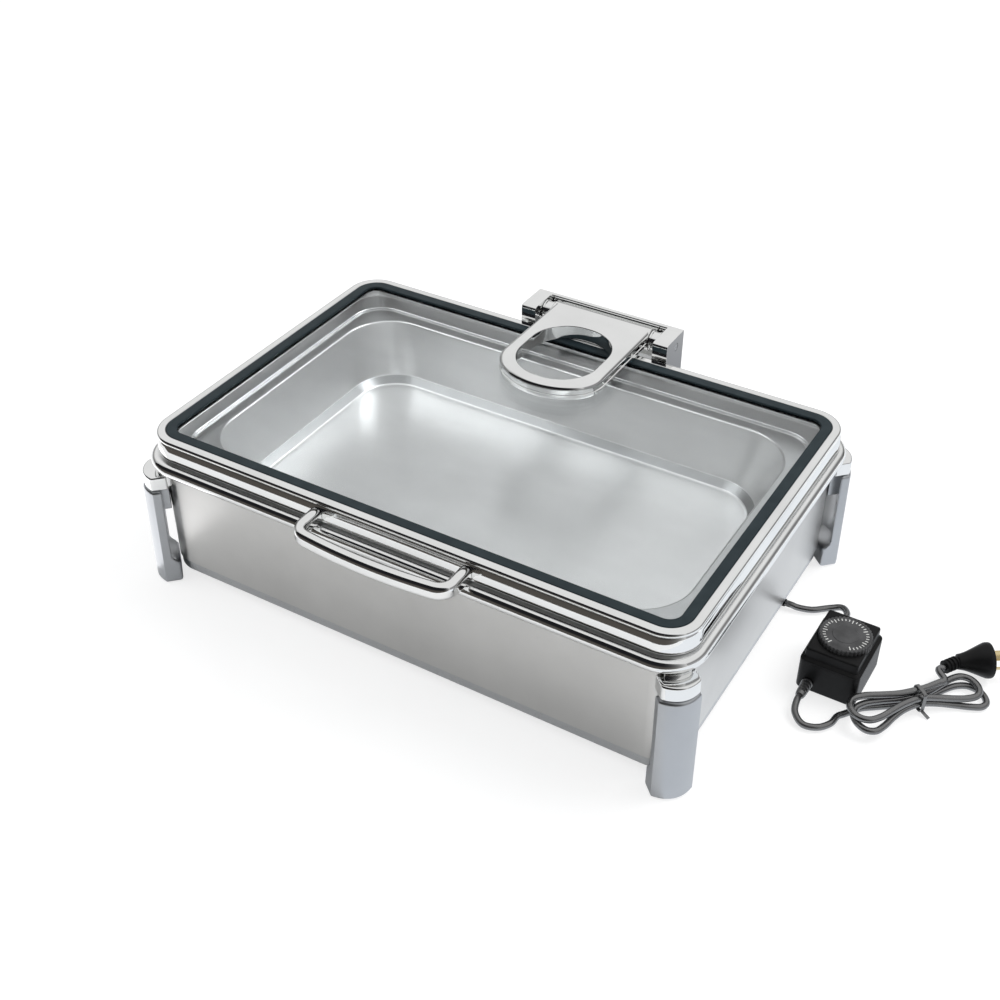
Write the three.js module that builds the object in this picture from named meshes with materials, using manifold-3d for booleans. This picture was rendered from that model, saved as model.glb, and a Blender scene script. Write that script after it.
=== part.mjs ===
// Electric buffet warmer: a rectangular countertop cooker with a glass lid on a hydraulic rear hinge.
// Millimetres, +Z up. The origin is on the floor, under the middle of the warmer without its cord.
// The front, with the lid handle, faces -Y. The cord leaves under the right side, +X.
import * as THREE from 'three';
import { mergeVertices } from 'three/addons/utils/BufferGeometryUtils.js';
import Module from 'manifold-3d';

const wasm = await Module();
wasm.setup();

// Shared values
const seat = 0.3;            // gap between pieces that rest on each other
const overrun = 2;           // how far a cutter runs past the face it cuts
const sheet = 1;             // thickness of the stamped steel
const screwClear = 0.4;      // room round a screw in its hole
const cornerSteps = 5;       // segments in a rounded corner
const roundSides = 20;       // sides of a turned piece
const filletShare = 0.3;     // place of the middle point of a rounded edge, as a share of its radius

// Food pan: the standard full-size gastronorm pan
const panLength = 530;
const panWidth = 325;
const panDepth = 65;
const panSheet = 0.8;
const panFlange = 12.5;      // flange width round the mouth
const panFlangeCorner = 30;
const panFlangeLip = 1.9;    // height of the flange's turned-down edge
const panMouthCorner = 52;
const panDraft = 15;         // how far each wall leans in over the depth
const panFloorFillet = 9;

// Water pan, whose rolled edge is the rim of the warmer
const wellGap = 4;           // between the food pan's mouth and the well's mouth
const waterSpace = 25.2;     // from the well's floor up to the food pan
const heatSpace = 46.3;      // from the base pan up to the well's floor
const wellDraft = 8;
const wellFillet = 8;
const shelfGap = 4;          // round the food pan's flange
const shelfDrop = 3.2;       // from the deck down to the shelf
const rimOverhang = 12;      // of the rolled rim past the casing
const rimHeight = 14;
const rimRoll = 5;           // radius of the roll

// Casing and base pan
const casingSide = 19;       // from the food pan's flange to the casing's side
const casingFront = 23.5;    // the same at the front and at the rear
const casingCorner = 28;
const casingLip = 7;
const basePanBottom = 11;
const basePanDrop = 13;      // how far the base pan shows below the casing
const basePanTuck = 10;      // how far the base pan reaches up inside the casing

// Legs, one across each corner of the casing
const legWidth = 38;
const legReach = 24;         // from the casing's corner to the middle of the leg's outer face
const legBow = 8;            // how far the outer face's edges lie behind its middle
const legBowSteps = 8;
const legLean = 2;           // how much further out the foot stands than the top
const legThickness = 10;
const legEdge = 3.5;         // rounding of the outer face's long edges
const footHeight = 22;
const footFlare = 10;        // height over which the foot thins into the leg
const footBack = 1;          // from the casing's corner to the back of the foot
const footEdge = 4;
const bossWidth = 20;
const bossHeight = 28;
const capInset = 1.5;
const capHeight = 16.1;
const capDrop = 3.5;         // from the rim's underside to the cap's outer top
const capEdge = 2.5;
const capStepWidth = 24;
const capStepDepth = 10;

// Screws and bolts
const boltRadius = 3;
const boltHeadRadius = 5;
const boltHead = 4;
const boltBite = 9;          // depth of a bolt in the piece that it holds
const screwRadius = 2;
const screwHeadRadius = 3.6;
const screwHead = 2.4;

// Lid
const lidSide = 5;           // of the lid past the casing at each side
const lidFrontOver = 3;      // the same at the front and at the rear
const lidCorner = 33;
const lidGap = 0.5;          // between the lid's band and the rim
const lidHeight = 23.5;
const lidLip = 9.5;          // steel seen round the gasket
const lidWall = 1.5;
const lidEdge = 3;           // rounding of the top edge
const ledge = 11.5;          // flange under the glass
const ledgeThickness = 1.5;
const glassThickness = 5;
const gasketWidth = 12;
const gasketThickness = 2.5;

// Lid handle, a bent bar on the front of the band
const overhang = 43;         // of the handle in front of the lid and of the hinge behind it
const handleWidth = 172;
const handleBar = 12;
const handleHeight = 16;
const handleDrop = 6.5;      // of the bar's middle below the ledge under the glass
const handleBow = 5;
const handleBowEnd = 0.6;    // share of the bow that is left at the bar's ends
const handleCorner = 20;
const handleBevel = 3;

// Hinge
const tongueWidth = 116;
const tongueThickness = 16.5;
const tongueLength = 152.5;  // from the pin to the ring's front
const tongueSides = 108.5;   // length of the straight sides, from the pin
const tongueBevel = 1.6;
const ringHoleWidth = 87;
const ringHoleLength = 106;
const ringHoleCorner = 41;
const ringWall = 14;         // steel in front of the hole
const knuckleRadius = 12;
const pinRadius = 4;
const damperSpace = 12;      // gap for a damper between the tongue and a cheek
const cheekThickness = 17;
const hingeWidth = tongueWidth + 2 * (damperSpace + cheekThickness);
const cheekClear = 2.5;      // between the lid's rear and the cheeks
const cheekRound = 4;        // rounding of the cheeks' upper front edge
const backPlate = 4;
const hingeRun = 1.5;        // clearance round the moving hinge pieces
const hingeFoot = 34;        // height of the flange bolted to the casing
const damperRadius = 11;
const tongueScrewSpacing = 70;
const hingeBoltSpacing = 80;

// Heating
const elementRadius = 4;
const elementInset = 115;    // from the food pan's edge to the start of an element's turn
const elementRuns = 4;
const elementPitch = 54;
const elementTurnSteps = 6;
const elementSides = 8;
const elementSteps = 70;
const clampWidth = 12;
const clampThickness = 2;
const clampInset = 180;      // from the food pan's edge to a clamp bar
const shieldInset = 50;      // from the food pan's end to the heat shield's
const shieldFront = 31.5;    // the same at the front and at the rear
const shieldHeight = 22;
const shieldCorner = 20;
const cutoutRadius = 9;
const cutoutHeight = 8;
const cutoutInset = 60;      // from the food pan's edge to the cutout
const blockLength = 18;
const blockWidth = 44;
const blockHeight = 16;
const blockInset = 44;       // of the terminal block and the earth screw from the casing's right side
const blockY = 40;
const earthY = -40;

// Cord outlet under the base pan
const cordRadius = 3.25;
const outletInset = 35;      // from the casing's right side
const outletY = 88;
const outletLength = 26;
const outletWidth = 16;
const outletHeight = 10;
const outletRelief = 20;     // length of the tapered strain relief
const outletReliefRadius = 4.8;
const outletReliefTip = 4;
const outletStem = 7;
const outletNut = 10;
const outletNutHeight = 4;

// Control box on the cord
const boxPlace = 76;         // of the box's middle from the casing's right side
const boxY = 23;
const boxWidth = 58;
const boxDepth = 70;
const boxCorner = 6;
const boxWall = 2;
const boxLowerHeight = 33;
const boxHeight = 48;
const boxLedge = 3.5;        // step between the two tiers
const boxLedgeRise = 4;
const boxEdge = 2.2;
const dialRadius = 25;
const dialThickness = 9;
const dialRise = 4.5;        // of the dial's face over the cover
const dialShift = 1.4;       // of the dial towards the right side, where it pokes out
const dialGap = 0.8;
const dialGrips = 40;
const dialGripDepth = 0.9;
const shaftRadius = 3;
const thermostatWidth = 28;
const thermostatDepth = 34;
const thermostatHeight = 24;
const gripLength = 20;
const gripRadius = 5.6;
const gripTip = 4.2;
const leadInset = 12;        // of the cord holes from the box's left side
const leadInHeight = 13;
const leadOutHeight = 10;

// Hank of the mains lead, tied in the middle
const hankPlace = 155;       // of the tie from the casing's right side
const hankY = 19;
const hankHeading = 50;
const hankPitch = 7.25;      // from one layer of cord up to the next
const hankWaist = 3.75;      // half the distance of the strands in the tie
const hankFloor = 0.1;
const hankClimb = 0.6;       // radians of a lobe over which the cord climbs
const hankSteps = 24;        // steps in a loop
const hankSides = 6;
const tieThickness = 1.2;
const tieWidth = 4;
const tieGap = 0.45;
// Heading, reach from the tie and fullness of each lobe, in the order that the cord runs
const hankLobes = [
  { heading: 231, reach: 72, fullness: 32, from: 0.66, to: 1, layer: 0 },
  { heading: 40, reach: 66, fullness: 32, from: 0, to: 1, layer: 0 },
  { heading: 238, reach: 69, fullness: 36, from: 0, to: 1, layer: 1 },
  { heading: 50, reach: 62, fullness: 31, from: 0, to: 1, layer: 1 },
  { heading: 229, reach: 70, fullness: 33, from: 0, to: 1, layer: 2 },
  { heading: 62, reach: 72, fullness: 28, from: 0, to: 0.08, layer: 2 },
];

// Plug
const plugPlace = 197.5;       // of the plug's face from the casing's right side
const plugY = 97;
const plugHeading = 35;
const plugRadius = 17.2;
const plugHeight = 17.6;     // of the plug's axis over the floor
const plugLength = 31;
const plugOverlap = 3.7;     // of the body into the collar
// Outline of the plug's body, from the collar to the face, as shares of its radius and length
const plugOutline = [[0.43, 0], [0.54, 0.25], [0.9, 0.72], [1, 0.84], [1, 0.97], [0.94, 1]];
const collarHeading = 58;
const collarLength = 16;
const collarRadius = 5.4;
const collarRib = 1.1;
const collarRibs = 4;
const collarRibShare = 0.55; // width of a rib, as a share of the distance from rib to rib
const plugPins = 3;
const pinLength = 18;
const pinWidth = 6.4;
const pinThickness = 1.8;
const pinCircle = 8.5;
const pinTurn = 0.25;        // place of the first pin, as a share of the circle

// Free cord
const cordSides = 10;
// Points of the two leads, with x from the casing's right side
const leadInWay = [[10, 89, 4.4], [24, 94, 3.6], [38, 105, 4], [49, 109, 6.5], [57.5, 99, 10.5]];
const leadInSteps = 26;
const leadOutWay = [[62, -50, 6.5], [73, -58.5, 3.8], [86, -55, 3.5], [94.5, -44, 3.4]];
const leadOutSteps = 22;
const leadPlugSteps = 12;

// Heights and places that follow, from the base pan up and from the food pan out
const casingBottom = basePanBottom + basePanDrop;
const wellFloor = basePanBottom + heatSpace;
const panBottom = wellFloor + waterSpace;
const panTop = panBottom + panDepth;
const shelfTop = panTop - panFlangeLip - seat;
const rimTop = shelfTop + shelfDrop;
const casingTop = rimTop - sheet - seat;
const casingWidth = panLength + 2 * casingSide;
const casingDepth = panWidth + 2 * casingFront;
const lidWidth = casingWidth + 2 * lidSide;
const lidDepth = casingDepth + 2 * lidFrontOver;
const reach = lidDepth / 2 + overhang;
const rimWidth = casingWidth + 2 * rimOverhang;
const rimDepth = casingDepth + 2 * rimOverhang;
const rimCorner = casingCorner + rimOverhang;
const rimBottom = rimTop - rimHeight;
const capTop = rimBottom - capDrop;
const legHeight = capTop - capHeight - seat;
const lidBottom = rimTop + lidGap;
const lidTop = lidBottom + lidHeight;
const glassTop = lidTop - gasketThickness;
const glassBottom = glassTop - glassThickness;
const ledgeTop = glassBottom - seat;
const ledgeBottom = ledgeTop - ledgeThickness;
const tongueBottom = lidTop + seat;
const tongueTop = tongueBottom + tongueThickness;
const pinY = reach - backPlate - hingeRun - knuckleRadius;
const pinZ = tongueTop - knuckleRadius;
const tongueFront = pinY - tongueLength;
const tongueShoulder = pinY - tongueSides;
const cheekInner = hingeWidth / 2 - cheekThickness;
const casingRear = casingDepth / 2;
const hingeBottom = rimBottom - hingeRun - hingeFoot;
const elementZ = wellFloor - sheet - seat - elementRadius;
const elementHalfLength = panLength / 2 - elementInset;
const casingRight = casingWidth / 2;
const outletX = casingRight - outletInset;
const blockX = casingRight - blockInset;
const boxX = casingRight + boxPlace;
const hankX = casingRight + hankPlace;
const plugX = casingRight + plugPlace;

// Materials
const finishes = {
  polished: { color: 0xd8d9d6, roughness: 0.12, metalness: 1 },
  satin: { color: 0xaab0b4, roughness: 0.38, metalness: 1 },
  panel: { color: 0xb4b3ae, roughness: 0.28, metalness: 1 },
  dull: { color: 0x8f9294, roughness: 0.5, metalness: 1 },
  glass: { color: 0xcfd6d8, roughness: 0.05, metalness: 0, transparent: true, opacity: 0.3 },
  rubber: { color: 0x3c4850, roughness: 0.7, metalness: 0 },
  plastic: { color: 0x151515, roughness: 0.5, metalness: 0 },
  ceramic: { color: 0xd9d4c8, roughness: 0.8, metalness: 0 },
  brass: { color: 0xc9b37a, roughness: 0.3, metalness: 1 },
};

const model = new THREE.Group();

// Adds one named piece to the model
function add(name, geometry, finish, position = [0, 0, 0], turn = 0) {
  const mesh = new THREE.Mesh(geometry, new THREE.MeshStandardMaterial(finishes[finish]));
  mesh.name = name;
  mesh.position.set(...position);
  mesh.rotation.z = turn;
  model.add(mesh);
}

// Outline of a rounded rectangle, counter-clockwise, centred on the origin
function roundedRect(width, depth, corner, steps = cornerSteps) {
  const points = [];
  const radius = Math.min(corner, width / 2, depth / 2);
  const centres = [[1, 1], [-1, 1], [-1, -1], [1, -1]];
  centres.forEach(([sideX, sideY], quarter) => {
    for (let step = 0; step <= steps; step++) {
      const angle = (quarter + step / steps) * Math.PI / 2;
      points.push(new THREE.Vector2(
        sideX * (width / 2 - radius) + radius * Math.cos(angle),
        sideY * (depth / 2 - radius) + radius * Math.sin(angle),
      ));
    }
  });
  return points;
}

// A skin over rounded rectangles. Each station is [width, depth, corner, z]. A ring closes on itself.
function loft(stations, ring = false) {
  const outlines = stations.map(([width, depth, corner]) => roundedRect(width, depth, corner));
  const count = outlines[0].length;
  const positions = [];
  const index = [];
  outlines.forEach((outline, row) => {
    outline.forEach((point) => positions.push(point.x, point.y, stations[row][3]));
  });
  const rows = ring ? stations.length : stations.length - 1;
  for (let row = 0; row < rows; row++) {
    const above = (row + 1) % stations.length;
    for (let column = 0; column < count; column++) {
      const next = (column + 1) % count;
      const corners = [row * count + column, row * count + next, above * count + next, above * count + column];
      index.push(corners[0], corners[1], corners[2], corners[0], corners[2], corners[3]);
    }
  }
  if (!ring) {
    const last = (stations.length - 1) * count;
    THREE.ShapeUtils.triangulateShape(outlines[0], []).forEach(([a, b, c]) => index.push(a, c, b));
    THREE.ShapeUtils.triangulateShape(outlines.at(-1), []).forEach(([a, b, c]) => {
      index.push(last + a, last + b, last + c);
    });
  }
  const geometry = new THREE.BufferGeometry();
  geometry.setAttribute('position', new THREE.Float32BufferAttribute(positions, 3));
  geometry.setIndex(index);
  return outward(geometry);
}

// Turns every face outward when a loft was drawn the other way round
function outward(geometry) {
  const position = geometry.getAttribute('position');
  const index = geometry.getIndex();
  const corners = [new THREE.Vector3(), new THREE.Vector3(), new THREE.Vector3()];
  let volume = 0;
  for (let face = 0; face < index.count; face += 3) {
    corners.forEach((corner, side) => corner.fromBufferAttribute(position, index.getX(face + side)));
    volume += corners[0].dot(corners[1].clone().cross(corners[2]));
  }
  if (volume < 0) {
    const turned = Array.from(index.array);
    for (let face = 0; face < turned.length; face += 3) {
      [turned[face + 1], turned[face + 2]] = [turned[face + 2], turned[face + 1]];
    }
    geometry.setIndex(turned);
  }
  return geometry;
}

// A geometry as a solid that can be cut and joined
function solid(geometry, matrix = new THREE.Matrix4()) {
  const bare = geometry.clone().applyMatrix4(matrix);
  bare.deleteAttribute('normal');
  bare.deleteAttribute('uv');
  const merged = mergeVertices(bare);
  return new wasm.Manifold(new wasm.Mesh({
    numProp: 3,
    vertProperties: new Float32Array(merged.getAttribute('position').array),
    triVerts: new Uint32Array(merged.getIndex().array),
  }));
}

// A cut or joined solid as a geometry
function geometryOf(body) {
  const mesh = body.getMesh();
  const geometry = new THREE.BufferGeometry();
  geometry.setAttribute('position', new THREE.Float32BufferAttribute(mesh.vertProperties, 3));
  geometry.setIndex(Array.from(mesh.triVerts));
  return geometry;
}

const moved = (x, y, z) => new THREE.Matrix4().makeTranslation(x, y, z);

// A box from its low and high corners
function box(low, high) {
  const size = high.map((value, axis) => value - low[axis]);
  const middle = high.map((value, axis) => (value + low[axis]) / 2);
  return new THREE.BoxGeometry(...size).translate(...middle);
}

// A rod between two heights on the Z axis
function rod(radius, low, high, sides = roundSides) {
  return new THREE.CylinderGeometry(radius, radius, high - low, sides)
    .rotateX(Math.PI / 2)
    .translate(0, 0, (low + high) / 2);
}

// A rod along X, centred on x = 0, through a place in Y and Z
function crossRod(radius, length, y, z, sides = roundSides) {
  return new THREE.CylinderGeometry(radius, radius, length, sides).rotateZ(Math.PI / 2).translate(0, y, z);
}

// An outline raised from one height to another
function prism(points, low, high) {
  const shape = new THREE.Shape(points);
  return new THREE.ExtrudeGeometry(shape, { depth: high - low, bevelEnabled: false }).translate(0, 0, low);
}

// A tube along a curve, with flat ends
function tube(curve, radius, sides, steps) {
  const section = [];
  for (let side = 0; side < sides; side++) {
    const angle = side / sides * 2 * Math.PI;
    section.push(new THREE.Vector2(radius * Math.cos(angle), radius * Math.sin(angle)));
  }
  return new THREE.ExtrudeGeometry(new THREE.Shape(section), { steps, extrudePath: curve });
}

// A headed screw pointing up Z, with its head's underside at z = 0
function screw(radius, headRadius, head, length) {
  const profile = [
    [0, -head], [headRadius, -head], [headRadius, 0], [radius, 0], [radius, length], [0, length],
  ];
  return new THREE.LatheGeometry(profile.map(([r, z]) => new THREE.Vector2(r, z)), roundSides / 2)
    .rotateX(Math.PI / 2);
}

// Water pan: well, shelf for the food pan, deck and rolled rim, in one pressing
function waterPan() {
  const mouth = [panLength - 2 * panFlange + 2 * wellGap, panWidth - 2 * panFlange + 2 * wellGap];
  const floor = mouth.map((size) => size - 2 * wellDraft);
  const shelf = [panLength + 2 * shelfGap, panWidth + 2 * shelfGap];
  const mouthCorner = panMouthCorner + wellGap;
  const shelfCorner = panFlangeCorner + shelfGap;
  const at = ([width, depth], grow, corner, z) => [width + 2 * grow, depth + 2 * grow, corner + grow, z];
  const rim = (inset, z) => at([rimWidth, rimDepth], -inset, rimCorner, z);
  const inside = [
    at(floor, -wellFillet, mouthCorner, wellFloor),
    at(floor, -wellFillet * filletShare, mouthCorner, wellFloor + wellFillet * filletShare),
    at(floor, 0, mouthCorner, wellFloor + wellFillet),
    at(mouth, 0, mouthCorner, shelfTop),
    at(shelf, 0, shelfCorner, shelfTop),
    at(shelf, 0, shelfCorner, rimTop),
    rim(rimRoll, rimTop),
    rim(rimRoll * filletShare, rimTop - rimRoll * filletShare),
    rim(0, rimTop - rimRoll),
    rim(0, rimBottom + rimRoll),
    rim(rimRoll * filletShare, rimBottom + rimRoll * filletShare),
    rim(rimRoll, rimBottom),
  ];
  const outside = [
    rim(rimRoll, rimBottom + sheet),
    rim(rimRoll * filletShare + sheet, rimBottom + rimRoll * filletShare + sheet),
    rim(sheet, rimBottom + rimRoll),
    rim(sheet, rimTop - rimRoll),
    rim(rimRoll * filletShare + sheet, rimTop - rimRoll * filletShare - sheet),
    rim(rimRoll, rimTop - sheet),
    at(shelf, sheet, shelfCorner, rimTop - sheet),
    at(shelf, sheet, shelfCorner, shelfTop - sheet),
    at(mouth, sheet, mouthCorner, shelfTop - sheet),
    at(floor, sheet, mouthCorner, wellFloor + wellFillet),
    at(floor, sheet - wellFillet * filletShare, mouthCorner, wellFloor + wellFillet * filletShare - sheet),
    at(floor, -wellFillet, mouthCorner, wellFloor - sheet),
  ];
  return loft([...inside, ...outside]);
}

// Food pan with its flange and turned-down edge
function foodPan() {
  const mouth = [panLength - 2 * panFlange, panWidth - 2 * panFlange];
  const floor = mouth.map((size) => size - 2 * panDraft);
  const at = ([width, depth], grow, corner, z) => [width + 2 * grow, depth + 2 * grow, corner + grow, z];
  const flange = (inset, z) => at([panLength, panWidth], -inset, panFlangeCorner, z);
  const middle = panFloorFillet * filletShare;
  return loft([
    at(floor, -panFloorFillet, panMouthCorner, panBottom + panSheet),
    at(floor, -middle, panMouthCorner, panBottom + panSheet + middle),
    at(floor, 0, panMouthCorner, panBottom + panSheet + panFloorFillet),
    at(mouth, 0, panMouthCorner, panTop),
    flange(panSheet, panTop),
    flange(0, panTop - panSheet),
    flange(0, panTop - panFlangeLip),
    flange(panSheet, panTop - panFlangeLip),
    flange(panSheet, panTop - panSheet),
    at(mouth, panSheet, panMouthCorner, panTop - panSheet),
    at(floor, panSheet, panMouthCorner, panBottom + panFloorFillet),
    at(floor, panSheet - middle, panMouthCorner, panBottom + middle),
    at(floor, -panFloorFillet, panMouthCorner, panBottom),
  ]);
}

// Places of the four legs: the casing's corner and the way out from it
const cornerReach = casingCorner * (1 - Math.SQRT1_2);
const corners = [[1, -1, 'front_right'], [1, 1, 'rear_right'], [-1, 1, 'rear_left'], [-1, -1, 'front_left']]
  .map(([sideX, sideY, name]) => ({
    name,
    position: [sideX * (casingWidth / 2 - cornerReach), sideY * (casingDepth / 2 - cornerReach), 0],
    turn: Math.atan2(sideY, sideX) - Math.PI / 2,
  }));
const boltZ = legHeight - bossHeight / 2;

// A rod that points out along a leg's own +Y
function legRod(radius, from, to) {
  return new THREE.CylinderGeometry(radius, radius, to - from, roundSides / 2)
    .translate(0, (from + to) / 2, boltZ);
}

// Casing: a skirt with a lip at its top, drilled for the leg bolts and the hinge bolts
function casing() {
  const at = (inset, z) => [casingWidth - 2 * inset, casingDepth - 2 * inset, casingCorner - inset, z];
  let body = solid(loft([
    at(0, casingBottom), at(0, casingTop), at(casingLip, casingTop), at(casingLip, casingTop - sheet),
    at(sheet, casingTop - sheet), at(sheet, casingBottom),
  ], true));
  corners.forEach(({ position, turn }) => {
    const place = moved(...position).multiply(new THREE.Matrix4().makeRotationZ(turn));
    body = body.subtract(solid(legRod(boltRadius + screwClear, -casingLip, overrun), place));
  });
  hingeBoltPlaces().forEach(([x, z]) => {
    const hole = rod(boltRadius + screwClear, -casingLip, overrun).rotateX(-Math.PI / 2);
    body = body.subtract(solid(hole, moved(x, casingRear, z)));
  });
  return geometryOf(body);
}

// Base pan: a tray that closes the casing from below, with a hole for the cord outlet
function basePan() {
  const at = (inset, z) => [
    casingWidth - 2 * (sheet + seat + inset), casingDepth - 2 * (sheet + seat + inset),
    casingCorner - sheet - seat - inset, z,
  ];
  const tray = solid(loft([
    at(sheet, basePanBottom + sheet), at(sheet, casingBottom + basePanTuck), at(0, casingBottom + basePanTuck),
    at(0, basePanBottom + sheet), at(sheet, basePanBottom),
  ]));
  const hole = rod(outletStem + screwClear, -overrun, casingBottom).translate(outletX, outletY, 0);
  return geometryOf(tray.subtract(solid(hole)));
}

// Outline of a leg in plan at a height: a bowed outer face with rounded edges and a flat back
function legRing(outer, back, inset, z) {
  const half = legWidth / 2 - inset;
  const face = (x) => outer - inset - legBow * (2 * x / legWidth) ** 2;
  const points = [[-half, back, z], [half, back, z], [half, face(half) - legEdge, z]];
  for (let step = 0; step <= legBowSteps; step++) {
    const x = (half - legEdge / 2) * (1 - 2 * step / legBowSteps);
    points.push([x, face(x), z]);
  }
  points.push([-half, face(half) - legEdge, z]);
  return points;
}

// Leg: a bowed slab that leans out to a thick foot, with a boss that is bolted to the casing
function leg() {
  const foot = legReach + legLean;
  const middle = footEdge * filletShare;
  const block = wasm.Manifold.hull([
    ...legRing(legReach, footBack, 0, legHeight),
    ...legRing(foot, footBack, 0, footEdge),
    ...legRing(foot, footBack, middle, middle),
    ...legRing(foot, footBack + footEdge, footEdge, 0),
  ]);
  const inner = legReach - legThickness;
  const hollowTop = legHeight + overrun;
  const hollow = wasm.Manifold.hull([
    ...legRing(inner, -overrun, -overrun, hollowTop),
    ...legRing(inner, -overrun, -overrun, footHeight + footFlare),
    ...[-1, 1].map((side) => [side * (legWidth / 2 + overrun), footBack, footHeight]),
    ...[-1, 1].map((side) => [side * (legWidth / 2 + overrun), -overrun, footHeight]),
  ]);
  const boss = solid(box(
    [-bossWidth / 2, seat, legHeight - bossHeight], [bossWidth / 2, legReach - legThickness / 2, legHeight],
  ));
  const bore = solid(legRod(boltRadius + screwClear, -overrun, seat + boltBite + screwClear));
  return geometryOf(block.subtract(hollow).add(boss).subtract(bore));
}

// Cap between a leg and the rim, bowed like the leg, with a step that reaches up under the rim
function legCap() {
  const low = legHeight + seat;
  const body = wasm.Manifold.hull([
    ...legRing(legReach, seat, capInset, low),
    ...legRing(legReach, seat, capInset, capTop - capEdge),
    ...legRing(legReach, seat, capInset + capEdge * filletShare, capTop - capEdge * filletShare),
    ...legRing(legReach, seat, capInset + capEdge, capTop),
  ]);
  const step = box([-capStepWidth / 2, seat, low], [capStepWidth / 2, capStepDepth, rimBottom - seat]);
  return geometryOf(body.add(solid(step)));
}

// Lid frame: band, rounded top edge, lip round the gasket and ledge under the glass
function lidFrame() {
  const at = (inset, z) => [lidWidth - 2 * inset, lidDepth - 2 * inset, lidCorner - inset, z];
  const middle = lidEdge * filletShare;
  let body = solid(loft([
    at(0, lidBottom), at(0, lidTop - lidEdge), at(middle, lidTop - middle), at(lidEdge, lidTop), at(lidLip, lidTop),
    at(lidLip, ledgeTop), at(lidLip + ledge, ledgeTop), at(lidLip + ledge, ledgeBottom),
    at(lidWall, ledgeBottom), at(lidWall, lidBottom),
  ], true));
  tongueScrewPlaces().forEach((x) => {
    const hole = rod(screwRadius + screwClear, ledgeBottom - overrun, lidTop + overrun);
    body = body.subtract(solid(hole, moved(x, tongueScrewY, 0)));
  });
  handleScrewPlaces().forEach((x) => {
    const hole = rod(screwRadius + screwClear, -overrun, lidWall + overrun).rotateX(Math.PI / 2);
    body = body.subtract(solid(hole, moved(x, -lidDepth / 2 + lidWall, handleMiddle)));
  });
  return geometryOf(body);
}

// A flat plate or ring that lies inside the lid's lip
function lidSheet(low, high, innerWidth) {
  const inset = lidLip + seat;
  const at = (extra, z) => {
    return [lidWidth - 2 * (inset + extra), lidDepth - 2 * (inset + extra), lidCorner - inset - extra, z];
  };
  if (!innerWidth) return loft([at(0, low), at(0, high)]);
  return loft([at(0, low), at(0, high), at(innerWidth, high), at(innerWidth, low)], true);
}

// Handle: a bar bent into a shallow D, seen from above, with rounded edges
const handleMiddle = ledgeBottom - handleDrop;
const lidFront = lidDepth / 2;
function handle() {
  const trim = handleBevel;
  const half = handleWidth / 2 - trim;
  const front = reach - trim;
  const back = lidFront + seat;
  const bar = handleBar - 2 * trim;
  const corner = handleCorner - trim;
  const bend = handleBow * handleBowEnd;
  const inner = corner - bar / 2;
  const shape = new THREE.Shape();
  shape.moveTo(half, -back);
  shape.lineTo(half, -front + handleBow + corner);
  shape.quadraticCurveTo(half, -front + handleBow, half - corner, -front + bend);
  shape.quadraticCurveTo(0, -front - bend, -half + corner, -front + bend);
  shape.quadraticCurveTo(-half, -front + handleBow, -half, -front + handleBow + corner);
  shape.lineTo(-half, -back);
  shape.lineTo(-half + bar, -back);
  shape.lineTo(-half + bar, -front + handleBow + corner);
  shape.quadraticCurveTo(-half + bar, -front + handleBow + bar, -half + bar + inner, -front + handleBow + bar);
  shape.quadraticCurveTo(0, -front + bar, half - bar - inner, -front + handleBow + bar);
  shape.quadraticCurveTo(half - bar, -front + handleBow + bar, half - bar, -front + handleBow + corner);
  shape.lineTo(half - bar, -back);
  const height = handleHeight - 2 * trim;
  const bent = new THREE.ExtrudeGeometry(shape, {
    depth: height, bevelEnabled: true, bevelThickness: trim, bevelSize: trim, bevelSegments: 2, curveSegments: 6,
  }).translate(0, 0, handleMiddle - height / 2);
  const wallCut = box([-handleWidth, -back, lidBottom - handleHeight], [handleWidth, 0, lidTop + handleHeight]);
  let body = solid(bent).subtract(solid(wallCut));
  handleScrewPlaces().forEach((x) => {
    const hole = rod(screwRadius + screwClear, -overrun, boltBite).rotateX(Math.PI / 2);
    body = body.subtract(solid(hole, moved(x, -back, handleMiddle)));
  });
  return geometryOf(body);
}

// The handle's screws come from inside the band
function handleScrewPlaces() {
  const place = handleWidth / 2 - handleBar / 2;
  return [-place, place];
}

// The tongue's screws come up through the lid frame's rear lip
const tongueScrewY = lidDepth / 2 - lidWall - 2 * seat - screwHeadRadius;
function tongueScrewPlaces() {
  return [-tongueScrewSpacing / 2, tongueScrewSpacing / 2];
}

// The hinge's bolts go through its flange into the casing
function hingeBoltPlaces() {
  const z = hingeBottom + hingeFoot / 2;
  return [[-hingeBoltSpacing / 2, z], [hingeBoltSpacing / 2, z]];
}

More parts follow.
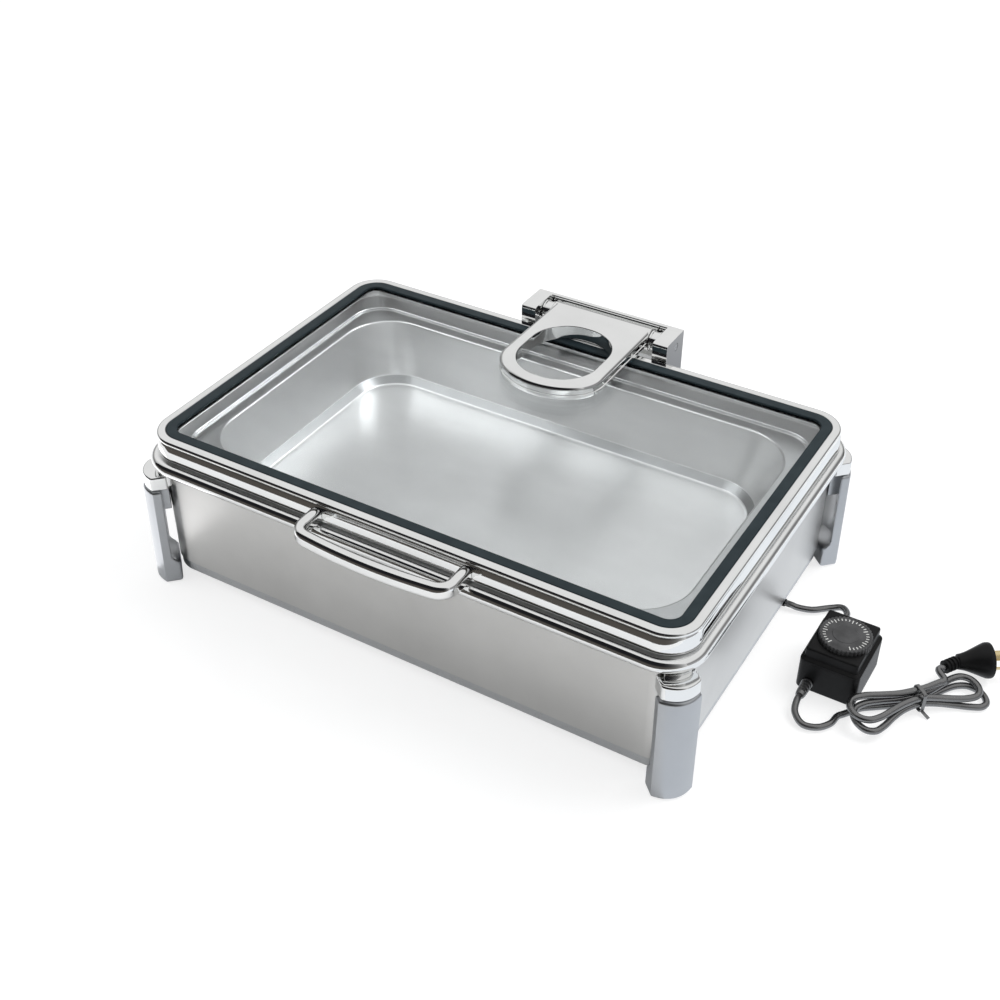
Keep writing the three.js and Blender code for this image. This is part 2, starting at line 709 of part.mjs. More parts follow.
// Tongue: the plate over the glass with its oval ring and the knuckle behind
function hingeTongue() {
  const half = tongueWidth / 2 - tongueBevel;
  const nose = tongueShoulder - tongueFront - tongueBevel;
  const shape = new THREE.Shape();
  shape.moveTo(half, pinY);
  shape.lineTo(-half, pinY);
  shape.lineTo(-half, tongueShoulder);
  shape.absellipse(0, tongueShoulder, half, nose, Math.PI, 2 * Math.PI, false, 0);
  shape.lineTo(half, pinY);
  const holeMiddle = tongueFront + ringWall + ringHoleLength / 2;
  const hole = roundedRect(ringHoleWidth + 2 * tongueBevel, ringHoleLength + 2 * tongueBevel, ringHoleCorner)
    .map((point) => new THREE.Vector2(point.x, point.y + holeMiddle));
  shape.holes.push(new THREE.Path(hole));
  const plate = new THREE.ExtrudeGeometry(shape, {
    depth: tongueThickness - 2 * tongueBevel, bevelEnabled: true, bevelThickness: tongueBevel,
    bevelSize: tongueBevel, bevelSegments: 2, curveSegments: 12,
  }).translate(0, 0, tongueBottom + tongueBevel);
  const rearCut = box([-tongueWidth, pinY, 0], [tongueWidth, reach, tongueTop + overrun]);
  let body = solid(plate).subtract(solid(rearCut)).add(solid(crossRod(knuckleRadius, tongueWidth, pinY, pinZ)));
  body = body.subtract(solid(crossRod(pinRadius + seat, tongueWidth + 2 * overrun, pinY, pinZ)));
  tongueScrewPlaces().forEach((x) => {
    const bore = rod(screwRadius + screwClear, -overrun, boltBite + screwClear);
    body = body.subtract(solid(bore, moved(x, tongueScrewY, tongueBottom)));
  });
  return geometryOf(body);
}

// Bracket: two cheeks, a back plate and a flange bolted to the casing, reaching round the rim
function hingeBracket() {
  const front = lidDepth / 2 + cheekClear;
  const rimRear = rimDepth / 2 + hingeRun / 2;
  const wallRear = casingRear + seat;
  const plateFront = reach - backPlate;
  const cheekSide = [
    [front + cheekRound, tongueTop], [plateFront + overrun, tongueTop], [plateFront + overrun, hingeBottom],
    [wallRear, hingeBottom], [wallRear, rimBottom - hingeRun], [rimRear, rimBottom - hingeRun],
    [rimRear, rimTop + seat], [front, rimTop + seat], [front, tongueTop - cheekRound],
    [front + cheekRound * filletShare, tongueTop - cheekRound * filletShare],
  ].map(([y, z]) => new THREE.Vector2(y, z));
  const upright = new THREE.Matrix4().makeBasis(
    new THREE.Vector3(0, 1, 0), new THREE.Vector3(0, 0, 1), new THREE.Vector3(1, 0, 0),
  );
  const half = hingeWidth / 2;
  let body = solid(box([-half, plateFront, hingeBottom], [half, reach, tongueTop]))
    .add(solid(box([-half, wallRear, hingeBottom], [half, wallRear + backPlate, rimBottom - hingeRun])))
    .add(solid(prism(cheekSide, -half, -cheekInner), upright))
    .add(solid(prism(cheekSide, cheekInner, half), upright))
    .subtract(solid(crossRod(pinRadius + seat, hingeWidth + 2 * overrun, pinY, pinZ)));
  hingeBoltPlaces().forEach(([x, z]) => {
    const hole = rod(boltRadius + screwClear, -overrun, backPlate + overrun).rotateX(-Math.PI / 2);
    body = body.subtract(solid(hole, moved(x, wallRear, z)));
  });
  return geometryOf(body);
}

// Damper barrel between the tongue and a cheek, on the hinge pin
function hingeDamper() {
  const length = cheekInner - tongueWidth / 2 - 2 * seat;
  const barrel = solid(crossRod(damperRadius, length, pinY, pinZ));
  return geometryOf(barrel.subtract(solid(crossRod(pinRadius + seat, length + 2 * overrun, pinY, pinZ))));
}

// Heating element: a tube in straight runs joined by half turns
function heatingElement() {
  const points = [];
  for (let run = 0; run < elementRuns; run++) {
    const y = (run - (elementRuns - 1) / 2) * elementPitch;
    const way = run % 2 ? -1 : 1;
    points.push(new THREE.Vector3(-way * elementHalfLength, y, elementZ));
    points.push(new THREE.Vector3(0, y, elementZ));
    points.push(new THREE.Vector3(way * elementHalfLength, y, elementZ));
    for (let step = 1; step < elementTurnSteps && run < elementRuns - 1; step++) {
      const angle = step / elementTurnSteps * Math.PI;
      const out = elementPitch / 2 * Math.sin(angle);
      const up = elementPitch / 2 * (1 - Math.cos(angle));
      points.push(new THREE.Vector3(way * (elementHalfLength + out), y + up, elementZ));
    }
  }
  const curve = new THREE.CatmullRomCurve3(points, false, 'centripetal');
  return tube(curve, elementRadius, elementSides, elementSteps);
}

// Clamp bar under the element, on two posts that hang from the water pan
function elementClamp() {
  const half = elementPitch * (elementRuns - 1) / 2 + clampWidth;
  const barTop = elementZ - elementRadius - seat;
  let body = solid(box([-clampWidth / 2, -half, barTop - clampThickness], [clampWidth / 2, half, barTop]));
  [-elementPitch, elementPitch].forEach((y) => {
    const post = rod(boltRadius, barTop - clampThickness, wellFloor - sheet - seat);
    body = body.add(solid(post, moved(0, y, 0)));
  });
  return geometryOf(body);
}

// Heat shield: an upturned tray that stands on the base pan
function heatShield() {
  const low = basePanBottom + sheet + seat;
  const high = low + shieldHeight;
  const length = panLength - 2 * shieldInset;
  const width = panWidth - 2 * shieldFront;
  const at = (inset, z) => [length - 2 * inset, width - 2 * inset, shieldCorner - inset, z];
  return loft([at(sheet, high - sheet), at(sheet, low), at(0, low), at(0, high)]);
}

// Cord outlet: a block under the base pan with a stem and nut through the hole, and its strain relief
function cordOutlet() {
  const top = basePanBottom - seat;
  const inside = basePanBottom + sheet + seat;
  const half = [outletLength / 2, outletWidth / 2];
  const profile = [[0, -seat], [outletReliefRadius, -seat], [outletReliefTip, outletRelief], [0, outletRelief]];
  const relief = turned(profile, roundSides / 2, 0);
  return geometryOf(
    solid(box([-half[0], -half[1], top - outletHeight], [half[0], half[1], top]))
      .add(solid(rod(outletStem, top - outletHeight / 2, inside + outletNutHeight)))
      .add(solid(rod(outletNut, inside, inside + outletNutHeight)))
      .add(solid(relief, moved(outletLength / 2, 0, top - outletHeight / 2))),
  );
}

// Control box: the open lower shell
function controlBase() {
  const at = (inset, z) => [boxWidth - 2 * inset, boxDepth - 2 * inset, boxCorner - inset, z];
  return loft([
    at(boxWall, boxWall), at(boxWall, boxLowerHeight), at(0, boxLowerHeight), at(0, boxEdge), at(boxEdge, 0),
  ]);
}

const dialTop = boxHeight + dialRise;
const dialBottom = dialTop - dialThickness;
const recessFloor = dialBottom - seat;
const shaftTop = dialBottom + dialThickness / 2;

// Control box: the stepped cover with the dial's recess
function controlCover() {
  const at = (inset, z) => [boxWidth - 2 * inset, boxDepth - 2 * inset, boxCorner - inset / 2, z];
  const low = boxLowerHeight + seat;
  const inner = boxLedge + boxWall;
  const recess = rod(dialRadius + dialGap, recessFloor, boxHeight + overrun).translate(dialShift, 0, 0);
  const shaftHole = rod(shaftRadius + screwClear, low, boxHeight).translate(dialShift, 0, 0);
  const shell = solid(loft([
    at(inner, recessFloor - boxWall), at(inner, low), at(0, low), at(0, low + boxEdge),
    at(boxLedge, low + boxLedgeRise), at(boxLedge, boxHeight - boxEdge), at(boxLedge + boxEdge, boxHeight),
  ]));
  return geometryOf(shell.subtract(solid(recess)).subtract(solid(shaftHole)));
}

// Thermostat under the dial, bored for the shaft
const shaftBottom = boxWall + seat + thermostatHeight / 2;
function thermostat() {
  const low = boxWall + seat;
  const half = [thermostatWidth / 2, thermostatDepth / 2];
  const bore = rod(shaftRadius + seat, shaftBottom - seat, boxHeight);
  const body = solid(box([-half[0], -half[1], low], [half[0], half[1], low + thermostatHeight]));
  return geometryOf(body.subtract(solid(bore)));
}

// Dial with a gripped edge and a blind bore for the shaft
function dial() {
  const outline = [];
  for (let grip = 0; grip < 2 * dialGrips; grip++) {
    const angle = grip / dialGrips * Math.PI;
    const radius = grip % 2 ? dialRadius - dialGripDepth : dialRadius;
    outline.push(new THREE.Vector2(radius * Math.cos(angle), radius * Math.sin(angle)));
  }
  const bore = rod(shaftRadius + seat, dialBottom - overrun, shaftTop + seat);
  return geometryOf(solid(prism(outline, dialBottom, dialTop)).subtract(solid(bore)));
}

// Cord grip, standing out from a wall along its own +Z
function cordGrip() {
  const profile = [
    [0, seat], [gripRadius, seat], [gripRadius, gripLength / 2], [gripTip, gripLength], [0, gripLength],
  ];
  return new THREE.LatheGeometry(profile.map(([r, z]) => new THREE.Vector2(r, z)), roundSides / 2)
    .rotateX(Math.PI / 2);
}

// Centreline of the hank: lobe after lobe, each from the tie out to its tip and back
function hankPoints() {
  const points = [];
  hankLobes.forEach(({ heading, reach: lobeReach, fullness, from, to, layer }, lobe) => {
    const steps = Math.max(2, Math.round((to - from) * hankSteps / 2));
    const rightward = lobe % 2 === 1;
    const waist = hankHeading + (rightward ? 0 : 180);
    for (let step = from === 0 && lobe > 0 ? 1 : 0; step <= steps; step++) {
      const phase = (from + (to - from) * step / steps) * Math.PI;
      const swell = Math.sin(phase) ** 2;
      const out = lobeReach * Math.sin(phase);
      const side = Math.cos(phase) * (hankWaist + fullness * swell);
      const angle = THREE.MathUtils.degToRad(waist + (heading - waist) * swell);
      const before = rightward ? 0 : -THREE.MathUtils.smoothstep(-phase, -hankClimb, hankClimb);
      const after = rightward ? THREE.MathUtils.smoothstep(phase - Math.PI, -hankClimb, hankClimb) : 0;
      const layers = layer + (lobe > 0 ? before : 0) + (to === 1 ? after : 0);
      const lift = (tieThickness + 2 * tieGap) * (1 - Math.sin(phase)) ** 2;
      points.push(new THREE.Vector3(
        hankX + out * Math.cos(angle) - side * Math.sin(angle),
        hankY + out * Math.sin(angle) + side * Math.cos(angle),
        cordRadius + hankFloor + lift + layers * hankPitch,
      ));
    }
  });
  const lead = (end, next) => end.clone().add(end.clone().sub(next).setLength(2 * cordRadius));
  return [lead(points[0], points[1]), ...points, lead(points.at(-1), points.at(-2))];
}

const hankLine = hankPoints();
const hankCurve = new THREE.CatmullRomCurve3(hankLine, false, 'centripetal');
const hankLoops = hankLobes.reduce((sum, { from, to }) => sum + (to - from) / 2, 0);

// Least gap of the hank to itself, between points more than three diameters apart along it
function hankLeastGap() {
  const count = 600;
  const length = hankCurve.getLength();
  const points = hankCurve.getSpacedPoints(count);
  const apart = Math.ceil(6 * cordRadius / (length / count));
  let least = Infinity;
  points.forEach((point, first) => {
    for (let second = first + apart; second < points.length; second++) {
      least = Math.min(least, point.distanceTo(points[second]));
    }
  });
  return least - 2 * cordRadius;
}

// Tie round the middle of the hank
function hankTie() {
  const inner = [2 * (hankWaist + cordRadius + tieGap), 2 * hankPitch + 2 * (cordRadius + tieGap)];
  const outer = inner.map((size) => size + 2 * tieThickness);
  const shape = new THREE.Shape(roundedRect(...outer, cordRadius + tieThickness, 3));
  shape.holes.push(new THREE.Path(roundedRect(...inner, cordRadius, 3)));
  const middle = hankFloor + tieThickness + 2 * tieGap + cordRadius + hankPitch;
  return new THREE.ExtrudeGeometry(shape, { depth: tieWidth, bevelEnabled: false })
    .translate(0, 0, -tieWidth / 2)
    .rotateX(Math.PI / 2)
    .rotateZ(THREE.MathUtils.degToRad(hankHeading) + Math.PI / 2)
    .translate(hankX, hankY, middle);
}

// Unit vector in plan from a heading in degrees
function headingVector(degrees) {
  const angle = THREE.MathUtils.degToRad(degrees);
  return new THREE.Vector3(Math.cos(angle), Math.sin(angle), 0);
}

// A turned piece whose own axis points along a heading in plan
function turned(profile, sides, degrees) {
  return new THREE.LatheGeometry(profile.map(([r, z]) => new THREE.Vector2(r, z)), sides)
    .rotateZ(-Math.PI / 2)
    .rotateZ(THREE.MathUtils.degToRad(degrees));
}

const plugFace = new THREE.Vector3(plugX, plugY, plugHeight);
const plugRear = plugFace.clone().addScaledVector(headingVector(plugHeading), -plugLength);
const collarEnd = plugRear.clone().addScaledVector(headingVector(collarHeading), -collarLength);

// Plug: a flared body moulded in one with its ribbed collar
function plug() {
  const outline = plugOutline.map(([radius, length]) => [radius * plugRadius, length * plugLength]);
  const profile = [[0, -plugOverlap], ...outline, [0, plugLength]];
  const body = turned(profile, roundSides, plugHeading).translate(...plugRear);
  const ribs = [[0, 0]];
  for (let rib = 0; rib < collarRibs; rib++) {
    const low = rib / collarRibs * collarLength;
    const high = (rib + collarRibShare) / collarRibs * collarLength;
    const end = (rib + 1) / collarRibs * collarLength;
    const swell = collarRadius + collarRib;
    ribs.push([swell, low], [swell, high], [collarRadius, high], [collarRadius, end]);
  }
  ribs.push([0, collarLength]);
  const collar = turned(ribs, roundSides / 2, collarHeading).translate(...collarEnd);
  return geometryOf(solid(body).add(solid(collar)));
}

// Routes of the free cord, from the outlet to the box, to the hank and on to the plug
const outletEnd = outletX + outletLength / 2 + outletRelief + seat;
const outletZ = basePanBottom - seat - outletHeight / 2;
const boxLeft = boxX - boxWidth / 2 + leadInset;
const boxFront = boxY - boxDepth / 2;
const boxRear = boxY + boxDepth / 2;
const hankStart = hankLine[0];
const hankStartWay = hankLine[0].clone().sub(hankLine[1]).normalize();
const hankEnd = hankLine.at(-1);
const hankEndWay = hankLine.at(-1).clone().sub(hankLine.at(-2)).normalize();
const collarWay = headingVector(collarHeading);
const along = (point, way, distance) => point.clone().addScaledVector(way, distance);
const straight = 2 * cordRadius;
const fromCasing = ([x, y, z]) => new THREE.Vector3(casingRight + x, y, z);

const leadInRoute = [
  new THREE.Vector3(outletEnd, outletY, outletZ),
  new THREE.Vector3(outletEnd + straight, outletY, outletZ),
  ...leadInWay.map(fromCasing),
  new THREE.Vector3(boxLeft, boxRear + gripLength + straight, leadInHeight),
  new THREE.Vector3(boxLeft, boxRear + gripLength + seat, leadInHeight),
];

const leadOutRoute = [
  new THREE.Vector3(boxLeft, boxFront - gripLength - seat, leadOutHeight),
  new THREE.Vector3(boxLeft, boxFront - gripLength - straight, leadOutHeight),
  ...leadOutWay.map(fromCasing),
  along(hankStart, hankStartWay, straight + seat),
  along(hankStart, hankStartWay, seat),
];

const leadPlugRoute = [
  along(hankEnd, hankEndWay, seat),
  along(hankEnd, hankEndWay, straight + seat),
  along(collarEnd, collarWay, -straight - seat),
  along(collarEnd, collarWay, -seat),
];

function lead(route, steps) {
  return tube(new THREE.CatmullRomCurve3(route, false, 'centripetal'), cordRadius, cordSides, steps);
}

// Base of the warmer
add('water_pan', waterPan(), 'polished');
add('casing', casing(), 'panel');
add('base_pan', basePan(), 'satin');
corners.forEach(({ name, position, turn }) => {
  add(`leg_${name}`, leg(), 'satin', position, turn);
  add(`leg_cap_${name}`, legCap(), 'polished', position, turn);
  const way = turn + Math.PI / 2;
  const inset = sheet + 2 * seat + boltHeadRadius ** 2 / (2 * (casingCorner - sheet));
  const bolt = screw(boltRadius, boltHeadRadius, boltHead, inset + seat + boltBite).rotateX(-Math.PI / 2);
  const place = [position[0] - inset * Math.cos(way), position[1] - inset * Math.sin(way), boltZ];
  add(`leg_bolt_${name}`, bolt, 'dull', place, turn);
});

// Heating and wiring under the water pan
add('heating_element', heatingElement(), 'dull');
add('element_clamp_left', elementClamp(), 'dull', [clampInset - panLength / 2, 0, 0]);
add('element_clamp_right', elementClamp(), 'dull', [panLength / 2 - clampInset, 0, 0]);
add('heat_shield', heatShield(), 'dull');
const cutout = rod(cutoutRadius, -cutoutHeight, 0);
add('thermal_cutout', cutout, 'plastic', [panLength / 2 - cutoutInset, 0, wellFloor - sheet - seat]);
const floorTop = basePanBottom + sheet + seat;
add('terminal_block', box([-blockLength / 2, -blockWidth / 2, 0], [blockLength / 2, blockWidth / 2, blockHeight]),
  'ceramic', [blockX, blockY, floorTop]);
add('earth_screw', screw(screwRadius, screwHeadRadius, screwHead, blockHeight / 2), 'brass',
  [blockX, earthY, floorTop + screwHead]);
add('cord_outlet', cordOutlet(), 'plastic', [outletX, outletY, 0]);

// Hinge
add('hinge_bracket', hingeBracket(), 'polished');
add('hinge_pin', crossRod(pinRadius, hingeWidth - 2 * seat, pinY, pinZ), 'dull');
const damperX = (cheekInner + tongueWidth / 2) / 2;
add('hinge_damper_left', hingeDamper(), 'polished', [-damperX, 0, 0]);
add('hinge_damper_right', hingeDamper(), 'polished', [damperX, 0, 0]);
hingeBoltPlaces().forEach(([x, z], side) => {
  const length = backPlate + 2 * seat + sheet + boltBite;
  const bolt = screw(boltRadius, boltHeadRadius, boltHead, length).rotateX(Math.PI / 2);
  add(`hinge_bolt_${side ? 'right' : 'left'}`, bolt, 'dull', [x, casingRear + backPlate + 2 * seat, z]);
});

// Lid
add('lid_frame', lidFrame(), 'polished');
add('lid_glass', lidSheet(glassBottom, glassTop, 0), 'glass');
add('lid_gasket', lidSheet(glassTop + seat, lidTop, gasketWidth), 'rubber');
add('lid_handle', handle(), 'polished');
handleScrewPlaces().forEach((x, side) => {
  const length = lidWall + 2 * seat + boltBite - seat;
  const piece = screw(screwRadius, screwHeadRadius, screwHead, length).rotateX(Math.PI / 2);
  const place = [x, -lidFront + lidWall + seat, handleMiddle];
  add(`handle_screw_${side ? 'right' : 'left'}`, piece, 'dull', place);
});
add('hinge_tongue', hingeTongue(), 'polished');
tongueScrewPlaces().forEach((x, side) => {
  const length = lidTop - ledgeBottom + 2 * seat + boltBite - seat;
  const piece = screw(screwRadius, screwHeadRadius, screwHead, length);
  add(`tongue_screw_${side ? 'right' : 'left'}`, piece, 'dull', [x, tongueScrewY, ledgeBottom - seat]);
});

// Food pan
add('food_pan', foodPan(), 'satin');

// Control box
add('control_base', controlBase(), 'plastic', [boxX, boxY, 0]);
add('control_cover', controlCover(), 'plastic', [boxX, boxY, 0]);
add('thermostat', thermostat(), 'plastic', [boxX + dialShift, boxY, 0]);
add('dial_shaft', rod(shaftRadius, shaftBottom, shaftTop), 'dull', [boxX + dialShift, boxY, 0]);
add('control_dial', dial(), 'plastic', [boxX + dialShift, boxY, 0]);
add('cord_grip_in', cordGrip().rotateX(-Math.PI / 2), 'rubber', [boxLeft, boxRear, leadInHeight]);
add('cord_grip_out', cordGrip().rotateX(Math.PI / 2), 'rubber', [boxLeft, boxFront, leadOutHeight]);

// Cord, hank, tie and plug
add('lead_in', lead(leadInRoute, leadInSteps), 'plastic');
add('lead_out', lead(leadOutRoute, leadOutSteps), 'plastic');
add('cord_hank', tube(hankCurve, cordRadius, hankSides, Math.round(hankLoops * hankSteps)), 'plastic');
add('lead_to_plug', lead(leadPlugRoute, leadPlugSteps), 'plastic');
add('cord_tie', hankTie(), 'plastic');
add('plug', plug(), 'plastic');
const pinRoot = along(plugFace, headingVector(plugHeading), seat);
for (let pin = 0; pin < plugPins; pin++) {
  const spoke = (pin / plugPins + pinTurn) * 2 * Math.PI;
  const blade = box([0, -pinWidth / 2, -pinThickness / 2], [pinLength, pinWidth / 2, pinThickness / 2])
    .rotateX(pin === 0 ? Math.PI / 2 : spoke - Math.PI / 2)
    .translate(0, pinCircle * Math.cos(spoke), pinCircle * Math.sin(spoke));
  add(`plug_pin_${pin + 1}`, blade, 'brass', pinRoot.toArray(), THREE.MathUtils.degToRad(plugHeading));
}

console.log(`least gap of the hank to itself: ${hankLeastGap().toFixed(2)} mm`);
console.log(`length of cord in the hank: ${hankCurve.getLength().toFixed(0)} mm`);

export default model;
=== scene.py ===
# %% [markdown]
# # An electric buffet warmer, dressed for the studio
# The CAD model is the fixed frame: it says where every piece is. This lesson puts the looks round it.
# Sheet steel is modelled as loops of a rounded rectangle that are bridged one to the next, turned pieces
# are spun, and the cord is a curve. Lengths below are in millimetres, and MM turns them into metres.

# %% Load the frame
import math

import bmesh
import bpy
from mathutils import Matrix, Vector


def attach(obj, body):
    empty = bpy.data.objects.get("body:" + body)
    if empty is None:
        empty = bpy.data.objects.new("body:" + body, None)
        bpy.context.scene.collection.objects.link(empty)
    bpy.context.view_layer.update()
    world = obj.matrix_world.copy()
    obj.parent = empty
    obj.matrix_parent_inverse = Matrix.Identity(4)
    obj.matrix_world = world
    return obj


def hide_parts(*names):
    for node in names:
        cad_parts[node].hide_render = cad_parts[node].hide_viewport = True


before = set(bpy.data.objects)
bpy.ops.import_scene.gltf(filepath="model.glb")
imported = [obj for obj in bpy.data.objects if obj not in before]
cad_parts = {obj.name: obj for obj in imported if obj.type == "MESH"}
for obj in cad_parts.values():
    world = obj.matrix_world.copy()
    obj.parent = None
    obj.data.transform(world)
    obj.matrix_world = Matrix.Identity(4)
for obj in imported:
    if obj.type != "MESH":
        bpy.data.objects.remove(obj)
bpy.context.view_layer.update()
MM = 0.001
print("CAD nodes:", len(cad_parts))

# %% [markdown]
# ## Camera
# The place, the turn and the lens come from a pinhole camera fitted to the edges of the lid, the rim and
# the casing. A camera looks along its own -Z, so it is tipped up from there, then turned about Z.

# %% Camera
CAMERA_AZIMUTH = 31.03
CAMERA_ELEVATION = 37.25
bpy.ops.object.camera_add(location=(0.57968, -0.96234, 0.93618))
camera = bpy.context.object
camera.rotation_euler = (math.radians(90 - CAMERA_ELEVATION), 0, math.radians(CAMERA_AZIMUTH))
camera.data.sensor_width = 36
camera.data.lens = 50.336
camera.data.clip_end = 60
bpy.context.scene.camera = camera
bpy.context.scene.view_settings.view_transform = "Standard"
print("camera looks down", CAMERA_ELEVATION, "degrees")

# %% [markdown]
# ## Helpers
# An operator works on everything that is selected, so each helper starts by deselecting. Faces and edges
# are selected in code, by place or normal, through the edit mesh.

# %% Selecting and finishing
def leave_edit():
    """Go back to object mode."""
    bpy.ops.object.mode_set(mode="OBJECT")


def deselect():
    """Leave edit mode and select nothing."""
    if bpy.context.object and bpy.context.object.mode == "EDIT":
        leave_edit()
    bpy.ops.object.select_all(action="DESELECT")


def activate(piece):
    """Select one object only."""
    deselect()
    piece.select_set(True)
    bpy.context.view_layer.objects.active = piece


def named(name):
    """Name the newest object and its mesh."""
    piece = bpy.context.object
    piece.name = name
    piece.data.name = name
    return piece


def edit(piece):
    """Open one object's mesh in edit mode."""
    activate(piece)
    bpy.ops.object.mode_set(mode="EDIT")


def square(name):
    """Open a new unit square in edit mode."""
    deselect()
    bpy.ops.mesh.primitive_plane_add(size=1)
    piece = named(name)
    bpy.ops.object.mode_set(mode="EDIT")
    return piece


def pick_all():
    """In edit mode, select everything."""
    bpy.ops.mesh.select_all(action="SELECT")


def near(value, place):
    """Whether a coordinate is at a place that is given in millimetres."""
    return abs(value - place * MM) < 0.00005


def pick(piece, test, kind="VERT"):
    """In edit mode, select the vertices, edges or faces that pass a test."""
    bpy.ops.mesh.select_mode(type=kind)
    bpy.ops.mesh.select_all(action="DESELECT")
    shape = bmesh.from_edit_mesh(piece.data)
    parts = {"VERT": shape.verts, "EDGE": shape.edges, "FACE": shape.faces}[kind]
    for part in parts:
        if test(part):
            part.select_set(True)
    shape.select_flush_mode()
    bmesh.update_edit_mesh(piece.data)


def shift(x=0, y=0, z=0):
    """Move what is selected in edit mode, in millimetres."""
    bpy.ops.transform.translate(value=(x * MM, y * MM, z * MM))


def push(x=0, y=0, z=0):
    """Extrude what is selected in edit mode, in millimetres."""
    bpy.ops.mesh.extrude_region_move(TRANSFORM_OT_translate={"value": (x * MM, y * MM, z * MM)})


def round_off(width, segments, affect="EDGES"):
    """Round what is selected in edit mode."""
    bpy.ops.mesh.bevel(offset=width * MM, segments=segments, affect=affect, profile=0.5)


def moved(place):
    """The matrix that moves a piece, in millimetres."""
    return Matrix.Translation(Vector(place) * MM)


def rotated(axis, degrees):
    """The matrix that turns a piece about an axis."""
    return Matrix.Rotation(math.radians(degrees), 4, axis)


def add_modifier(piece, kind, **settings):
    """Add a modifier and apply it."""
    activate(piece)
    modifier = piece.modifiers.new(kind, kind)
    for key, value in settings.items():
        setattr(modifier, key, value)
    bpy.ops.object.modifier_apply(modifier=modifier.name)


def smooth(piece, angle=40):
    """Shade smooth below an angle, with normals that keep flat faces flat."""
    activate(piece)
    bpy.ops.object.shade_smooth_by_angle(angle=math.radians(angle))
    add_modifier(piece, "WEIGHTED_NORMAL", keep_sharp=True, weight=80)


def clean(piece):
    """Merge doubles, drop loose edges and turn the faces outward."""
    edit(piece)
    bpy.ops.mesh.select_mode(type="VERT")
    pick_all()
    bpy.ops.mesh.remove_doubles(threshold=0.00001)
    bpy.ops.mesh.delete_loose()
    pick_all()
    bpy.ops.mesh.normals_make_consistent(inside=False)
    # In a thin pan the operator can turn both walls inward, which a volume below zero shows
    if bmesh.from_edit_mesh(piece.data).calc_volume(signed=True) < 0:
        bpy.ops.mesh.flip_normals()
    leave_edit()


def settle(piece):
    """Put a piece's place and turn into its mesh."""
    activate(piece)
    bpy.ops.object.transform_apply(location=True, rotation=True, scale=True)


def rounded_edges(piece, width, angle=50, segments=3):
    """Bevel the edges that are sharper than an angle."""
    add_modifier(piece, "BEVEL", width=width * MM, segments=segments, limit_method="ANGLE",
                 angle_limit=math.radians(angle), use_clamp_overlap=True)


def joined(pieces, name):
    """Join several meshes into one piece."""
    deselect()
    for piece in pieces:
        piece.select_set(True)
    bpy.context.view_layer.objects.active = pieces[0]
    bpy.ops.object.join()
    return named(name)


def fit(piece, body, slot, material, *nodes):
    """Carry a piece on its body, give it its material and hide the CAD nodes it stands for."""
    piece.data.materials.clear()
    piece.data.materials.append(material)
    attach(piece, body)
    if nodes:
        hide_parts(*nodes)
    return piece


def repaint(piece, material, test):
    """Give the faces that pass a test another material."""
    piece.data.materials.append(material)
    for face in piece.data.polygons:
        if test(face.center / MM, face.normal):
            face.material_index = len(piece.data.materials) - 1


# %% [markdown]
# ## Pressed sheet
# A pressed lid, pan or casing is the same rounded rectangle at many heights. Each loop is a plane at its
# size whose corners are rounded by a vertex bevel. Only its edge is kept, and the loops are bridged.
# Extruding one outline would keep the corner radius wrong where the shelf and the mouth differ. Two loops
# in one plane would be bridged crosswise, so the loops are stacked first and moved to their heights after.

# %% Loops of a rounded rectangle
CORNER_SEGMENTS = 14
LOOP_SPACING = 5


def pressed(name, stations, ring=False, at=(0, 0)):
    """A skin over loops. A station is (width, depth, corner, height). A ring closes on itself."""
    piece = square(name)
    shape = bmesh.from_edit_mesh(piece.data)
    shape.verts.layers.int.new("loop")
    bmesh.update_edit_mesh(piece.data)
    for number, (width, depth, corner, height) in enumerate(stations, 1):
        if number > 1:
            bpy.ops.mesh.select_all(action="DESELECT")
            bpy.ops.mesh.primitive_plane_add(size=1)
        bpy.ops.transform.resize(value=(width * MM, depth * MM, 1))
        shift(at[0], at[1], number * LOOP_SPACING)
        round_off(corner, CORNER_SEGMENTS, "VERTICES")
        bpy.ops.mesh.delete(type="ONLY_FACE")
        shape = bmesh.from_edit_mesh(piece.data)
        layer = shape.verts.layers.int["loop"]
        for vertex in shape.verts:
            if vertex[layer] == 0:
                vertex[layer] = number
    pairs = [(number, number + 1) for number in range(1, len(stations))]
    if ring:
        pairs.append((len(stations), 1))
    for pair in pairs:
        pick_loops(piece, pair)
        bpy.ops.mesh.bridge_edge_loops()
    if not ring:
        for end in (1, len(stations)):
            pick_loops(piece, (end,))
            bpy.ops.mesh.edge_face_add()
    for number, station in enumerate(stations, 1):
        pick_loops(piece, (number,))
        shift(z=station[3] - number * LOOP_SPACING)
    clean(piece)
    return piece


def pick_loops(piece, wanted):
    """Select the edges of some loops, which are those with both ends in one loop."""
    layer = bmesh.from_edit_mesh(piece.data).verts.layers.int["loop"]
    pick(piece, lambda edge: edge.verts[0][layer] == edge.verts[1][layer]
         and edge.verts[0][layer] in wanted, "EDGE")


def offset(width, depth, corner):
    """Stations of one rounded rectangle, from how far they stand out and how high they are."""
    return lambda points: [(width + 2 * out, depth + 2 * out, corner + out, z) for out, z in points]


def arc(out, height, radius, start, end, steps=5):
    """Points of a rounded edge, from one angle to another in degrees, with 0 outward and 90 up."""
    angles = [math.radians(start + (end - start) * step / steps) for step in range(steps + 1)]
    return [(out + radius * math.cos(a), height + radius * math.sin(a)) for a in angles]


# %% [markdown]
# ## Turned pieces
# A screw, a barrel or a plug is a profile that is spun round an axis. The profile is one vertex, extruded
# from point to point, as by hand.

